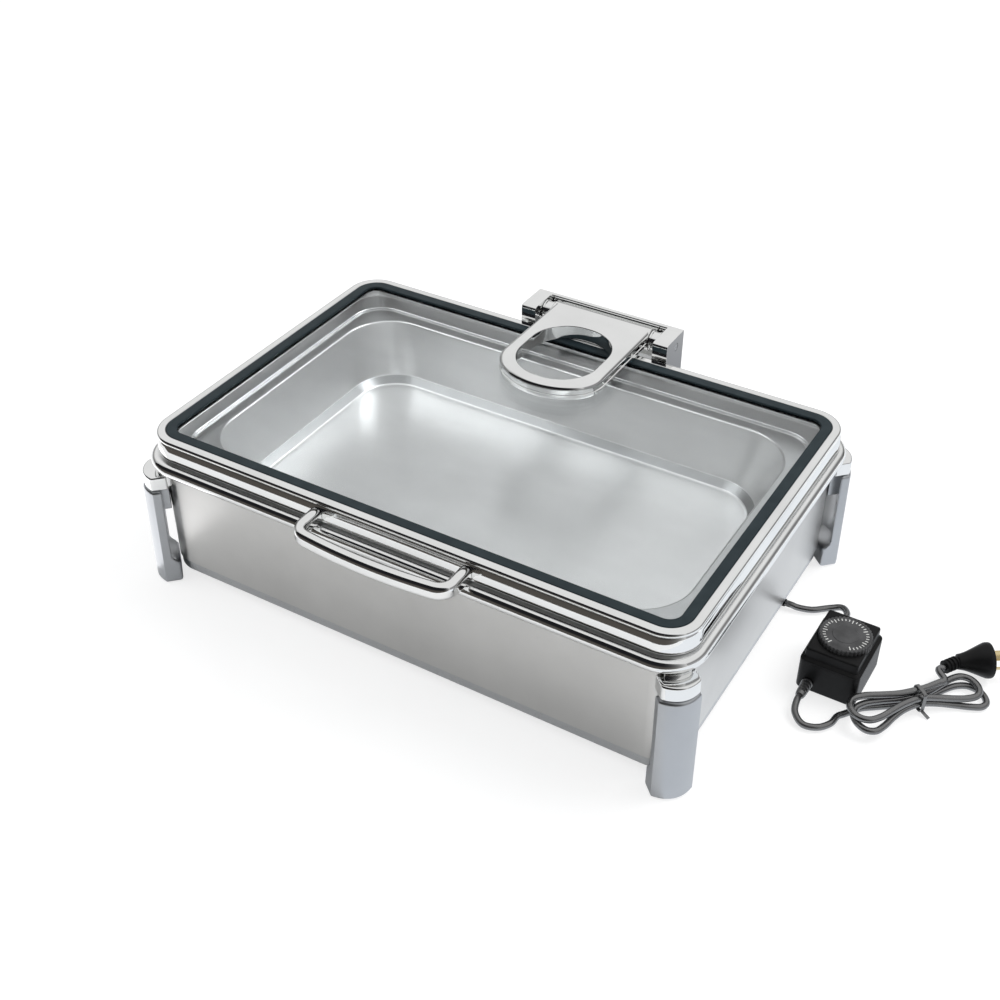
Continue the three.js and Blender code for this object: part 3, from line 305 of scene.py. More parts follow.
# %% Spin a profile
def turned(name, profile, steps=48, place=(0, 0, 0), along=(0, 0, 1)):
    """Spin points of (radius, length) round an axis that starts at a place."""
    piece = square(name)
    bpy.ops.mesh.select_mode(type="VERT")
    bpy.ops.mesh.merge(type="CENTER")
    shift(profile[0][0], 0, profile[0][1])
    for (r0, z0), (r1, z1) in zip(profile, profile[1:]):
        push(x=r1 - r0, z=z1 - z0)
    pick_all()
    bpy.ops.mesh.spin(steps=steps, angle=2 * math.pi, center=(0, 0, 0), axis=(0, 0, 1))
    clean(piece)
    turn = Vector(along).to_track_quat("Z", "X").to_matrix().to_4x4()
    piece.matrix_world = moved(place) @ turn
    settle(piece)
    return piece


def block(name, low, high, bevel=0.6, segments=3):
    """A block between two corners, with rounded edges."""
    deselect()
    middle = [(a + b) / 2 * MM for a, b in zip(low, high)]
    bpy.ops.mesh.primitive_cube_add(size=1, location=middle, scale=[(b - a) * MM for a, b in zip(low, high)])
    piece = named(name)
    settle(piece)
    if bevel:
        rounded_edges(piece, bevel, 30, segments)
    return piece


def combine(piece, other, operation="UNION"):
    """Join two closed meshes into one skin, or take the second away from the first."""
    add_modifier(piece, "BOOLEAN", object=other, operation=operation, solver="EXACT")
    bpy.data.objects.remove(other)


def bore(piece, radius, length, place, way=(0, 0, 1), steps=24):
    """Cut a round hole."""
    profile = [(0, 0), (radius, 0), (radius, length), (0, length)]
    combine(piece, turned("bore", profile, steps, place, way), "DIFFERENCE")


def slice_at(x=0, y=0, z=0, way=(0, 0, 1)):
    """In edit mode, add the edges where a plane meets the mesh."""
    pick_all()
    bpy.ops.mesh.bisect(plane_co=(x * MM, y * MM, z * MM), plane_no=way)


# %% [markdown]
# ## Materials
# Polished steel shows what stands round it, so its colour is plain and its detail is in small things:
# a slow waviness, faint wiping marks and a little change of roughness. Satin steel is rougher, and
# brushed steel has marks that run one way. Plastic and rubber have a fine moulded grain.

# %% Node helpers
def put(node, values):
    """Set a node's inputs by name."""
    for label, value in values.items():
        node.inputs[label].default_value = value


def add_node(nodes, kind, values=None):
    """Add a shader node of a kind and set some of its inputs."""
    node = nodes.new("ShaderNode" + kind)
    put(node, values or {})
    return node


def new_material(name):
    """A material with its nodes, and its main shader."""
    material = bpy.data.materials.new(name)
    material.use_nodes = True
    tree = material.node_tree
    return material, tree.nodes, tree.links, tree.nodes["Principled BSDF"]


def pattern(nodes, links, size, scale=(1, 1, 1), detail=3.0):
    """Noise in the piece's own space. Size is how wide a patch is in millimetres."""
    place = add_node(nodes, "TexCoord")
    mapping = add_node(nodes, "Mapping", {"Scale": scale})
    noise = add_node(nodes, "TexNoise", {"Scale": 1 / (size * MM), "Detail": detail})
    links.new(place.outputs["Object"], mapping.inputs["Vector"])
    links.new(mapping.outputs["Vector"], noise.inputs["Vector"])
    return noise.outputs["Fac"]


def between(nodes, links, source, low, high):
    """Spread a pattern over a range of values."""
    spread = add_node(nodes, "MapRange", {"From Min": 0.3, "From Max": 0.7, "To Min": low, "To Max": high})
    links.new(source, spread.inputs["Value"])
    return spread.outputs["Result"]


def two_tone(nodes, links, source, first, second):
    """Mix two colours by a pattern."""
    mix = add_node(nodes, "Mix")
    mix.data_type = "RGBA"
    put(mix, {"A": (*first, 1), "B": (*second, 1)})
    links.new(between(nodes, links, source, 0, 1), mix.inputs["Factor"])
    return mix.outputs["Result"]


def relief(nodes, links, shader, layers):
    """Stack patterns as bumps. A layer is (pattern, strength, height in millimetres)."""
    normal = None
    for source, strength, height in layers:
        bump = add_node(nodes, "Bump", {"Strength": strength, "Distance": height * MM})
        links.new(source, bump.inputs["Height"])
        if normal:
            links.new(normal, bump.inputs["Normal"])
        normal = bump.outputs["Normal"]
    links.new(normal, shader.inputs["Normal"])


# %% Steel
def steel(name, tone, roughness, spread=0.04, stretch=(1, 1, 1), mark=0.02, wave=0.03):
    """Stainless steel with patchy tone and roughness, fine marks and a slow waviness."""
    material, nodes, links, shader = new_material(name)
    dull = [channel * 0.93 for channel in tone]
    patches = pattern(nodes, links, 60, detail=4)
    marks = pattern(nodes, links, 1.2, stretch, 6)
    links.new(two_tone(nodes, links, patches, tone, dull), shader.inputs["Base Color"])
    links.new(between(nodes, links, marks, roughness - spread, roughness + spread),
              shader.inputs["Roughness"])
    put(shader, {"Metallic": 1})
    waves = pattern(nodes, links, 140, detail=1)
    relief(nodes, links, shader, [(waves, wave, 6), (marks, mark, 0.05)])
    return material


polished = steel("bright_steel", (0.88, 0.885, 0.88), 0.05, 0.015, (1, 1, 1), 0.004, 0.02)
panel = steel("casing_steel", (0.63, 0.625, 0.61), 0.3, 0.03, (1, 1, 14), 0.01)
satin = steel("leg_steel", (0.48, 0.495, 0.515), 0.33, 0.03, (1, 1, 1), 0.02, 0)
pan_steel = steel("pan_steel", (0.86, 0.865, 0.865), 0.36, 0.015, (1, 1, 1), 0.002, 0.015)
# A darker copy of the pan steel: painted shade for the flat top of the food pan's flange
shaded_flange_steel = steel("shaded_flange_steel", (0.57, 0.58, 0.585), 0.34, 0.02, (1, 1, 1), 0.003, 0)
# A darker copy of the pan steel: painted shade that dims the bright line at the food pan's floor chamfer
shaded_fold_steel = steel("shaded_fold_steel", (0.38, 0.39, 0.395), 0.3, 0.02, (1, 1, 1), 0.003, 0)
dull_steel = steel("zinc_plate", (0.55, 0.56, 0.57), 0.42, 0.08, (1, 1, 1), 0.2, 0)
tray_steel = steel("tray_steel", (0.55, 0.56, 0.57), 0.3, 0.06, (1, 12, 1), 0.1, 0)


# %% Plastics, rubber, brass and glass
def moulded(name, tone, roughness, grain, depth, second=None, sheen=0.35):
    """Moulded plastic or rubber with a fine grain and a slight change of tone."""
    material, nodes, links, shader = new_material(name)
    lighter = second or [channel * 1.5 + 0.002 for channel in tone]
    patches = pattern(nodes, links, 14, detail=5)
    grains = pattern(nodes, links, grain, detail=4)
    links.new(two_tone(nodes, links, patches, tone, lighter), shader.inputs["Base Color"])
    links.new(between(nodes, links, grains, roughness - 0.06, roughness + 0.08), shader.inputs["Roughness"])
    put(shader, {"Specular IOR Level": sheen})
    relief(nodes, links, shader, [(grains, 0.35, depth)])
    return material


black_plastic = moulded("box_plastic", (0.004, 0.004, 0.0042), 0.38, 0.7, 0.03, sheen=0.16)
dial_plastic = moulded("dial_plastic", (0.04, 0.04, 0.041), 0.45, 0.5, 0.03, (0.085, 0.085, 0.087))
cord_sheath = moulded("cord_sheath", (0.012, 0.012, 0.0125), 0.24, 40, 0.001, (0.018, 0.018, 0.019), 0.9)
cord_sheath.node_tree.nodes["Principled BSDF"].inputs["IOR"].default_value = 2
gasket_rubber = moulded("gasket_rubber", (0.012, 0.02, 0.024), 0.42, 1.1, 0.02, (0.02, 0.03, 0.035), 0.2)
ceramic = moulded("ceramic", (0.72, 0.69, 0.6), 0.7, 0.8, 0.08, (0.78, 0.75, 0.68))
tick_paint = moulded("dial_paint", (0.62, 0.62, 0.6), 0.5, 0.4, 0.02, (0.7, 0.7, 0.68))
brass = steel("drawn_brass", (0.72, 0.58, 0.32), 0.22, 0.06, (1, 1, 1), 0.1, 0)


def clear_glass(name):
    """Tempered glass: clear, a little grey, with faint smears in its gloss."""
    material, nodes, links, shader = new_material(name)
    smears = pattern(nodes, links, 50, (1, 3, 1), 5)
    links.new(two_tone(nodes, links, smears, (0.9, 0.915, 0.92), (0.87, 0.885, 0.89)),
              shader.inputs["Base Color"])
    links.new(between(nodes, links, smears, 0.0, 0.035), shader.inputs["Roughness"])
    put(shader, {"Transmission Weight": 1, "IOR": 1.45})
    return material


glass = clear_glass("pane_glass")
print("materials:", len(bpy.data.materials))

# %% [markdown]
# ## The cord
# A mains lead is one length of round flexible cord: from the outlet under the warmer to the control box,
# and from the box through a tied hank to the plug. A curve with a round bevel is the thing itself, and its
# points repeat the route of the CAD cord.

# %% Route of the cord
CORD_RADIUS = 3.25
CASING_RIGHT = 284
TIE = (439, 19)
TIE_HEADING = 50
HANK_PITCH = 7.25
HANK_WAIST = 3.75
HANK_FLOOR = 0.1
HANK_CLIMB = 0.6
HANK_STEPS = 24
TIE_THICKNESS = 1.2
TIE_GAP = 0.45
# Heading, reach from the tie, fullness, start and end of each lobe as shares, and its layer
HANK_LOBES = [
    (231, 72, 32, 0.66, 1, 0),
    (40, 66, 32, 0, 1, 0),
    (238, 69, 36, 0, 1, 1),
    (50, 62, 31, 0, 1, 1),
    (229, 70, 33, 0, 1, 2),
    (62, 72, 28, 0, 0.08, 2),
]


def smoothstep(value, low, high):
    """A smooth step from 0 to 1."""
    share = min(1, max(0, (value - low) / (high - low)))
    return share * share * (3 - 2 * share)


def hank_route():
    """Centreline of the hank: lobe after lobe, each from the tie out to its tip and back."""
    points = []
    for lobe, (heading, reach, fullness, start, end, layer) in enumerate(HANK_LOBES):
        steps = max(2, math.floor((end - start) * HANK_STEPS / 2 + 0.5))
        rightward = lobe % 2 == 1
        waist = TIE_HEADING + (0 if rightward else 180)
        for step in range(1 if start == 0 and lobe > 0 else 0, steps + 1):
            phase = (start + (end - start) * step / steps) * math.pi
            swell = math.sin(phase) ** 2
            out = reach * math.sin(phase)
            side = math.cos(phase) * (HANK_WAIST + fullness * swell)
            angle = math.radians(waist + (heading - waist) * swell)
            before = 0 if rightward else -smoothstep(-phase, -HANK_CLIMB, HANK_CLIMB)
            after = smoothstep(phase - math.pi, -HANK_CLIMB, HANK_CLIMB) if rightward else 0
            layers = layer + (before if lobe > 0 else 0) + (after if end == 1 else 0)
            lift = (TIE_THICKNESS + 2 * TIE_GAP) * (1 - math.sin(phase)) ** 2
            points.append(Vector((
                TIE[0] + out * math.cos(angle) - side * math.sin(angle),
                TIE[1] + out * math.sin(angle) + side * math.cos(angle),
                CORD_RADIUS + HANK_FLOOR + lift + layers * HANK_PITCH,
            )))
    return points


def beyond(end, inner, distance):
    """A point straight on from the end of a route."""
    return end + (end - inner).normalized() * distance


def smooth_route(points, steps=8):
    """Points along a centripetal curve through a route."""
    points = [2 * points[0] - points[1], *points, 2 * points[-1] - points[-2]]
    route = []
    for p0, p1, p2, p3 in zip(points, points[1:], points[2:], points[3:]):
        t1 = (p1 - p0).length ** 0.5
        t2 = t1 + (p2 - p1).length ** 0.5
        t3 = t2 + (p3 - p2).length ** 0.5
        for step in range(steps):
            t = t1 + (t2 - t1) * step / steps
            a1 = p0 * (t1 - t) / t1 + p1 * t / t1
            a2 = p1 * (t2 - t) / (t2 - t1) + p2 * (t - t1) / (t2 - t1)
            a3 = p2 * (t3 - t) / (t3 - t2) + p3 * (t - t2) / (t3 - t2)
            b1 = a1 * (t2 - t) / t2 + a2 * t / t2
            b2 = a2 * (t3 - t) / (t3 - t1) + a3 * (t - t1) / (t3 - t1)
            route.append(b1 * (t2 - t) / (t2 - t1) + b2 * (t - t1) / (t2 - t1))
    return [*route, points[-2]]


def cord(name, points):
    """A cord along a route, and its length in metres."""
    route = smooth_route(points)
    curve = bpy.data.curves.new(name, "CURVE")
    curve.dimensions = "3D"
    curve.bevel_depth = CORD_RADIUS * MM
    curve.bevel_resolution = 5
    curve.use_fill_caps = True
    spline = curve.splines.new("POLY")
    spline.points.add(len(route) - 1)
    for point, place in zip(spline.points, route):
        point.co = (*(place * MM), 1)
    piece = bpy.data.objects.new(name, curve)
    bpy.context.collection.objects.link(piece)
    length = sum((b - a).length for a, b in zip(route, route[1:])) * MM
    print(name, "is", round(length, 4), "m long")
    return piece, length


# %% Lay the two stretches
hank = hank_route()
hank_start = beyond(hank[0], hank[1], 2 * CORD_RADIUS)
hank_end = beyond(hank[-1], hank[-2], 2 * CORD_RADIUS)
PLUG_FACE = Vector((CASING_RIGHT + 197.5, 97, 17.6))
PLUG_HEADING = 35
PLUG_LENGTH = 31
COLLAR_LENGTH = 16
COLLAR_HEADING = 58
PLUG_WAY, COLLAR_WAY = [
    Vector((math.cos(math.radians(heading)), math.sin(math.radians(heading)), 0))
    for heading in (PLUG_HEADING, COLLAR_HEADING)]
PLUG_REAR = PLUG_FACE - PLUG_WAY * PLUG_LENGTH
COLLAR_END = PLUG_REAR - COLLAR_WAY * COLLAR_LENGTH
OUTLET_END = Vector((282.3, 88, 5.7))
BOX_LEAD_X = 343
BOX_REAR_LEAD = Vector((BOX_LEAD_X, 78.3, 13))
BOX_FRONT_LEAD = Vector((BOX_LEAD_X, -32.3, 10))

lead_to_box, lead_to_box_length = cord("lead_to_box", [
    OUTLET_END, OUTLET_END + Vector((6.2, 0, 0)),
    *[Vector((CASING_RIGHT + x, y, z)) for x, y, z in (
        (10, 89, 4.4), (24, 94, 3.6), (38, 105, 4), (49, 109, 6.5), (57.5, 99, 10.5))],
    BOX_REAR_LEAD + Vector((0, 6.2, 0)), BOX_REAR_LEAD,
])
mains_lead, mains_lead_length = cord("mains_lead", [
    BOX_FRONT_LEAD, BOX_FRONT_LEAD - Vector((0, 6.2, 0)),
    *[Vector((CASING_RIGHT + x, y, z)) for x, y, z in (
        (62, -50, 6.5), (73, -58.5, 3.8), (86, -55, 3.5), (94.5, -44, 3.4))],
    beyond(hank_start, hank[0], 6.8), hank_start, *hank, hank_end,
    beyond(hank_end, hank[-1], 6.8), COLLAR_END - COLLAR_WAY * 6.8, COLLAR_END - COLLAR_WAY * 0.3,
])
fit(lead_to_box, "base", "cord_rubber", cord_sheath, "lead_in")
fit(mains_lead, "base", "cord_rubber", cord_sheath, "lead_out", "cord_hank", "lead_to_plug")

# %% [markdown]
# ## Body
# The water pan is one pressing: a well, a shelf for the food pan, a deck and a rolled rim. The casing is a
# folded skirt below it and the base pan closes it. All three are loops of rounded rectangles.

# %% Water pan
well_floor = offset(497, 292, 56)
well_mouth = offset(513, 308, 56)
shelf = offset(538, 333, 34)
rim = offset(592, 396, 40)
water_pan = pressed("water_pan_shell", [
    *well_floor(arc(-8, 65.3, 8, -90, 0)),
    *well_mouth(arc(3, 142.3, 3, 180, 90, 4)),
    *shelf([(0, 145.3), (0, 148)]), *shelf([(0.5, 148.5)]),
    *rim(arc(-6.5, 142, 6.5, 90, 0, 7)), *rim(arc(-6.5, 141, 6.5, 0, -90, 7)),
    *rim(arc(-6.5, 141, 5.5, -90, 0, 4)), *rim(arc(-6.5, 142, 5.5, 0, 90, 4)),
    *shelf([(1, 147.5), (1, 144.3)]), *well_mouth([(3, 144.3), (1, 142.3)]),
    *well_floor(arc(-8, 65.3, 9, 0, -90)),
])
smooth(water_pan)
fit(water_pan, "base", "polished_steel", polished, "water_pan")
repaint(water_pan, pan_steel,
        lambda middle, normal: abs(middle.x) < 280 and abs(middle.y) < 180 and middle.z > 142)

# %% Casing and base pan
BOLT_HOLE = 3.4
SCREW_HOLE = 2.4
LEG_PLACE = (275.8, 177.8)
LEG_BOLT_HEIGHT = 100.6
HINGE_BOLTS = (-40, 40)
HINGE_BOLT_HEIGHT = 114.5
side = offset(568, 372, 28)
casing = pressed("casing_skirt", [
    *side([(-1, 24.6)]), *side(arc(-0.6, 24.6, 0.6, -90, 0, 3)),
    *side(arc(-2.5, 144.7, 2.5, 0, 90, 4)), *side([(-7, 147.2), (-7, 146.2), (-2.5, 146.2), (-1, 144.7)]),
], ring=True)
corners = []
for x, y, corner_name in (
        (1, -1, "front_right"), (1, 1, "rear_right"), (-1, 1, "rear_left"), (-1, -1, "front_left")):
    place = Vector((x * LEG_PLACE[0], y * LEG_PLACE[1], 0))
    corners.append((place, Vector((x, y, 0)).normalized(), corner_name))
for place, way, corner_name in corners:
    bore(casing, BOLT_HOLE, 9, place - way * 7 + Vector((0, 0, LEG_BOLT_HEIGHT)), way)
for x in HINGE_BOLTS:
    bore(casing, BOLT_HOLE, 9, (x, 179, HINGE_BOLT_HEIGHT), (0, 1, 0))
smooth(casing)
fit(casing, "base", "panel_steel", panel, "casing")

tray = offset(565.4, 369.4, 26.7)
base_pan = pressed("base_pan_tray", [
    *tray([(-4, 12)]), *tray(arc(-4, 15, 3, -90, 0, 3)), *tray([(-1, 34), (0, 34)]),
    *tray(arc(-4, 15, 4, 0, -90, 5)),
])
bore(base_pan, 7.4, 8, (249, 88, 8), steps=32)
smooth(base_pan)
fit(base_pan, "base", "satin_steel", tray_steel, "base_pan")
print("casing and pans:", *(len(piece.data.vertices) for piece in (water_pan, casing, base_pan)))

# %% [markdown]
# ## Legs
# Each leg is a bowed slab of satin steel across a corner of the casing. It starts as a cube. Planes cut it
# into columns, which are drawn back to bow it, and into rows, which lean it out. The back of the foot is
# flattened against the casing. One leg and one cap are modelled, then copied to the four corners.

# %% Leg and cap
LEG_HALF = 19
LEG_BOW = 8
LEG_HEIGHT = 114.6
LEG_FRONT = 24
LEG_LEAN = 2
LEG_ROWS = (22, 25, 28.5, 32, 60, 88)
CAP_FOOT = 114.9


def bowed_slab(name, width, depth, height, front, low, columns=12):
    """A block, bowed in plan so that its sides lie behind its middle."""
    slab = block(name, (-width / 2, front - depth, low), (width / 2, front, low + height), 0)
    edit(slab)
    places = [-width / 2 + column * width / columns for column in range(columns + 1)]
    for x in places[1:-1]:
        slice_at(x=x, way=(1, 0, 0))
    for x in places:
        pick(slab, lambda vertex: near(vertex.co.x, x))
        shift(y=-LEG_BOW * (x / LEG_HALF) ** 2)
    return slab


leg = bowed_slab("leg", 2 * LEG_HALF, 10, LEG_HEIGHT, LEG_FRONT, 0)
for z in LEG_ROWS:
    slice_at(z=z)
for z in (0, *LEG_ROWS):
    pick(leg, lambda vertex: near(vertex.co.z, z))
    shift(y=LEG_LEAN * (1 - z / LEG_HEIGHT))


def on_back(vertex):
    """Whether a vertex lies on the slab's back."""
    x, y, z = vertex.co / MM
    return y < LEG_FRONT - LEG_BOW * (x / LEG_HALF) ** 2 + LEG_LEAN * (1 - z / LEG_HEIGHT) - 5


for z, share in ((0, 0), (22, 0), (25, 0.25), (28.5, 0.72)):
    pick(leg, lambda vertex: near(vertex.co.z, z) and on_back(vertex))
    bpy.ops.transform.resize(value=(1, share, 1), center_override=(0, MM, 0))
leave_edit()
rounded_edges(leg, 3, 55, 4)
combine(leg, block("boss", (-10, 0.3, 86.6), (10, 17, LEG_HEIGHT), 0.8))
bore(leg, BOLT_HOLE, 11.7, (0, -2, LEG_BOLT_HEIGHT), (0, 1, 0))
smooth(leg)

cap = bowed_slab("cap", 35, 21, 16.1, 22.5, CAP_FOOT)
pick(cap, lambda vertex: vertex.co.y < 5 * MM)
bpy.ops.transform.resize(value=(1, 0, 1), center_override=(0, 0.3 * MM, 0))
leave_edit()
rounded_edges(cap, 2, 50, 4)
cap_step = bowed_slab("cap_step", 24, 9.7, 19.3, 10, CAP_FOOT)
leave_edit()
rounded_edges(cap_step, 1, 50, 2)
combine(cap, cap_step)
smooth(cap)
for place, way, corner_name in corners:
    turn = moved(place) @ rotated("Z", math.degrees(math.atan2(way.y, way.x)) - 90)
    for source, label, slot, material in (
            (leg, "leg", "satin_steel", satin), (cap, "leg_cap", "polished_steel", polished)):
        copy = source.copy()
        copy.data = source.data.copy()
        copy.name = copy.data.name = label + "_body_" + corner_name
        bpy.context.collection.objects.link(copy)
        copy.data.transform(turn)
        fit(copy, "base", slot, material, label + "_" + corner_name)
for source in (leg, cap):
    bpy.data.objects.remove(source)
print("legs and caps at", len(corners), "corners")

# %% [markdown]
# ## Lid
# The lid is a deep band with a bead rolled round its top, a lip round the gasket and a ledge that holds
# the glass. A narrow groove under the bead makes the dark line that runs round the real lid.

# %% Lid frame, glass and gasket
TONGUE_SCREWS = (-35, 35)
TONGUE_SCREW_Y = 183.3
HANDLE_ARMS = (-80, 80)
HANDLE_HEIGHT = 156.7
band = offset(578, 378, 33)
lid_frame = pressed("lid_band", [
    *band([(-3.5, 149)]), *band(arc(-2.6, 151.6, 2.6, -90, 0, 6)),
    *band([(0, 156), (-0.05, 159), (-0.4, 162), (-1.05, 165), (-1.5, 166.4), (-2.1, 167.2), (-2.1, 167.8)]),
    *band(arc(-3.6, 169.7, 2.8, -35, 90, 9)), *band(arc(-8.7, 171.7, 0.8, 90, 180, 3)),
    *band([(-9.5, 164.7), (-21, 164.7), (-21, 163.2), (-3.3, 163.2), (-1.6, 158), (-1.6, 152.6),
           (-3.5, 150.2)]),
], ring=True)
for x in TONGUE_SCREWS:
    bore(lid_frame, SCREW_HOLE, 14, (x, TONGUE_SCREW_Y, 161), steps=20)
for x in HANDLE_ARMS:
    bore(lid_frame, SCREW_HOLE, 5, (x, -191, HANDLE_HEIGHT), (0, 1, 0), 20)
smooth(lid_frame)
fit(lid_frame, "lid", "polished_steel", polished, "lid_frame")
repaint(lid_frame, pan_steel, lambda middle, normal: normal.xy.dot(middle.xy.normalized()) < -0.3
        or normal.z < -0.5 and middle.z > 160)

pane = pressed("lid_pane", [
    *band([(-10.4, 165)]), *band(arc(-10.4, 165.6, 0.6, -90, 0, 2)),
    *band(arc(-10.4, 169.4, 0.6, 0, 90, 2)),
])
smooth(pane)
pane.visible_shadow = False
fit(pane, "lid", "lid_glass", glass, "lid_glass")

gasket = pressed("lid_seal", [
    *band(arc(-10.4, 170.9, 0.6, -90, 0, 2)), *band(arc(-10.6, 171.8, 0.8, 0, 90, 3)),
    *band(arc(-19.4, 171.5, 1, 90, 180, 4)), *band([(-20.4, 170.3)]),
], ring=True)
smooth(gasket)
fit(gasket, "lid", "seal_rubber", gasket_rubber, "lid_gasket")


# %% [markdown]
# ## Handle
# The handle is one bar, bent twice and slightly bowed between the bends. Its section is a rounded
# rectangle that is extruded along the first arm, spun round each bend and the bow, then extruded back.

# %% Handle
HANDLE_TURN = 7
HANDLE_ROOT = -189.3
BEND = 14
BEND_X = HANDLE_ARMS[1] - BEND
BOW_RADIUS = BEND_X / math.sin(math.radians(HANDLE_TURN)) + BEND
BOW_CENTRE = -226 + BOW_RADIUS
BEND_CENTRE = BOW_CENTRE - (BOW_RADIUS - BEND) * math.cos(math.radians(HANDLE_TURN))
handle = square("lid_handle_bar")
pick_all()
bpy.ops.transform.resize(value=(12 * MM, 16 * MM, 1))
round_off(5.4, 8, "VERTICES")
bpy.ops.mesh.delete(type="ONLY_FACE")
leave_edit()
handle.data.transform(moved((HANDLE_ARMS[0], HANDLE_ROOT, HANDLE_HEIGHT)) @ rotated("X", 90))
bpy.ops.object.mode_set(mode="EDIT")
pick_all()
push(y=BEND_CENTRE - HANDLE_ROOT)
for steps, turn, x, y in (
        (10, 90 - HANDLE_TURN, -BEND_X, BEND_CENTRE), (16, 2 * HANDLE_TURN, 0, BOW_CENTRE),
        (10, 90 - HANDLE_TURN, BEND_X, BEND_CENTRE)):
    bpy.ops.mesh.spin(steps=steps, angle=-math.radians(turn), center=(x * MM, y * MM, 0), axis=(0, 0, 1))
push(y=HANDLE_ROOT - BEND_CENTRE)
for way in (-1, 1):
    pick(handle, lambda edge: edge.is_boundary and edge.verts[0].co.x * way > 0, "EDGE")
    bpy.ops.mesh.edge_face_add()
leave_edit()
clean(handle)
for x in HANDLE_ARMS:
    bore(handle, SCREW_HOLE, 11, (x, -187, HANDLE_HEIGHT), (0, -1, 0), 20)
smooth(handle)
fit(handle, "lid", "polished_steel", polished, "lid_handle")
print("handle reaches", round(min(vertex.co.y for vertex in handle.data.vertices) / MM, 1))

# %% [markdown]
# ## Hinge
# A thick tongue lies over the glass, with an oval ring at its front and a knuckle on the pin behind. Its
# outline is half of a flattened circle with two long sides. Cheeks stand at either side, with a damper
# barrel in each gap.

# %% Tongue with its ring
PIN = (214.5, 177.3)
PIN_HOLE = 4.3
HINGE_TOP = 189.3
TONGUE_HALF = 58
TONGUE_ROUND = 44
TONGUE_MIDDLE = 106
TONGUE_BOTTOM = 172.8
TONGUE_REAR = 214.5
deselect()
bpy.ops.mesh.primitive_circle_add(vertices=96, radius=1)
tongue = named("hinge_tongue_plate")
bpy.ops.object.mode_set(mode="EDIT")
pick_all()
bpy.ops.transform.resize(value=(TONGUE_HALF * MM, TONGUE_ROUND * MM, 1))
pick(tongue, lambda vertex: vertex.co.y > 0.0001)
bpy.ops.mesh.delete(type="VERT")
pick(tongue, lambda vertex: vertex.co.y > -0.0001)
push(y=TONGUE_REAR - TONGUE_MIDDLE)
bpy.ops.mesh.edge_face_add()
pick_all()
bpy.ops.mesh.edge_face_add()
pick_all()
shift(0, TONGUE_MIDDLE, TONGUE_BOTTOM)
push(z=HINGE_TOP - TONGUE_BOTTOM)
leave_edit()
clean(tongue)
edit(tongue)
for height, width in ((HINGE_TOP, 5), (TONGUE_BOTTOM, 3)):
    pick(tongue, lambda edge: all(near(vertex.co.z, height) for vertex in edge.verts)
         and any(vertex.co.y < (TONGUE_REAR - 0.5) * MM for vertex in edge.verts), "EDGE")
    round_off(width, 8)
for height in (178.6, 179.2, 180.4, 181):
    slice_at(z=height)
pick(tongue, lambda face: abs(face.calc_center_median().z - 179.8 * MM) < 0.0004
     and face.normal.y < 0.5, "FACE")
bpy.ops.transform.shrink_fatten(value=-0.9 * MM)
leave_edit()
combine(tongue, pressed("hole", offset(87, 106, 41)([(0, 160), (0, 200)]), at=(0, 129)), "DIFFERENCE")
rounded_edges(tongue, 1.4, 60, 4)
knuckle = [(0, 0), (11.4, 0), (12, 0.6), (12, 2 * TONGUE_HALF - 0.6), (11.4, 2 * TONGUE_HALF),
           (0, 2 * TONGUE_HALF)]
combine(tongue, turned("knuckle", knuckle, 64, (-TONGUE_HALF, *PIN), (1, 0, 0)))
bore(tongue, PIN_HOLE, 124, (-62, *PIN), (1, 0, 0), 32)
for x in TONGUE_SCREWS:
    bore(tongue, SCREW_HOLE, 11.4, (x, TONGUE_SCREW_Y, 170.8), steps=20)
smooth(tongue, 30)
fit(tongue, "lid", "polished_steel", polished, "hinge_tongue")

# %% Bracket and dampers
CHEEK_INNER = 70
CHEEK_OUTER = 87
CHEEK_FRONT = 191.5
CHEEK_BOTTOM = 148.8
NECK_FRONT = 198.75
PLATE_FRONT = 228
PLATE_REAR = 232
FLANGE_FRONT = 186.3
FLANGE_REAR = 190.3
FLANGE_TOP = 133
FLANGE_BOTTOM = 99
DAMPER_GAP = 0.3
bracket = block("hinge_bracket_body", (CHEEK_INNER, NECK_FRONT, FLANGE_BOTTOM),
                (CHEEK_OUTER, PLATE_REAR, HINGE_TOP), 0)
edit(bracket)
slice_at(z=FLANGE_TOP)
slice_at(z=CHEEK_BOTTOM)
slice_at(y=PLATE_FRONT, way=(0, 1, 0))
for low, high, front in (
        (CHEEK_BOTTOM, HINGE_TOP, CHEEK_FRONT), (FLANGE_BOTTOM, FLANGE_TOP, FLANGE_FRONT)):
    pick(bracket, lambda face: face.normal.y < -0.9
         and low * MM < face.calc_center_median().z < high * MM, "FACE")
    push(y=front - NECK_FRONT)
slice_at(y=FLANGE_REAR, way=(0, 1, 0))
pick(bracket, lambda edge: all(near(vertex.co.y, CHEEK_FRONT) and near(vertex.co.z, HINGE_TOP)
     for vertex in edge.verts), "EDGE")
round_off(4, 6)


def inner_wall(face):
    """Whether a face of the right cheek faces the tongue at the back plate or at the flange."""
    middle = face.calc_center_median() / MM
    at_flange = middle.y < FLANGE_REAR and middle.z < FLANGE_TOP
    return face.normal.x < -0.9 and (middle.y > PLATE_FRONT or at_flange)


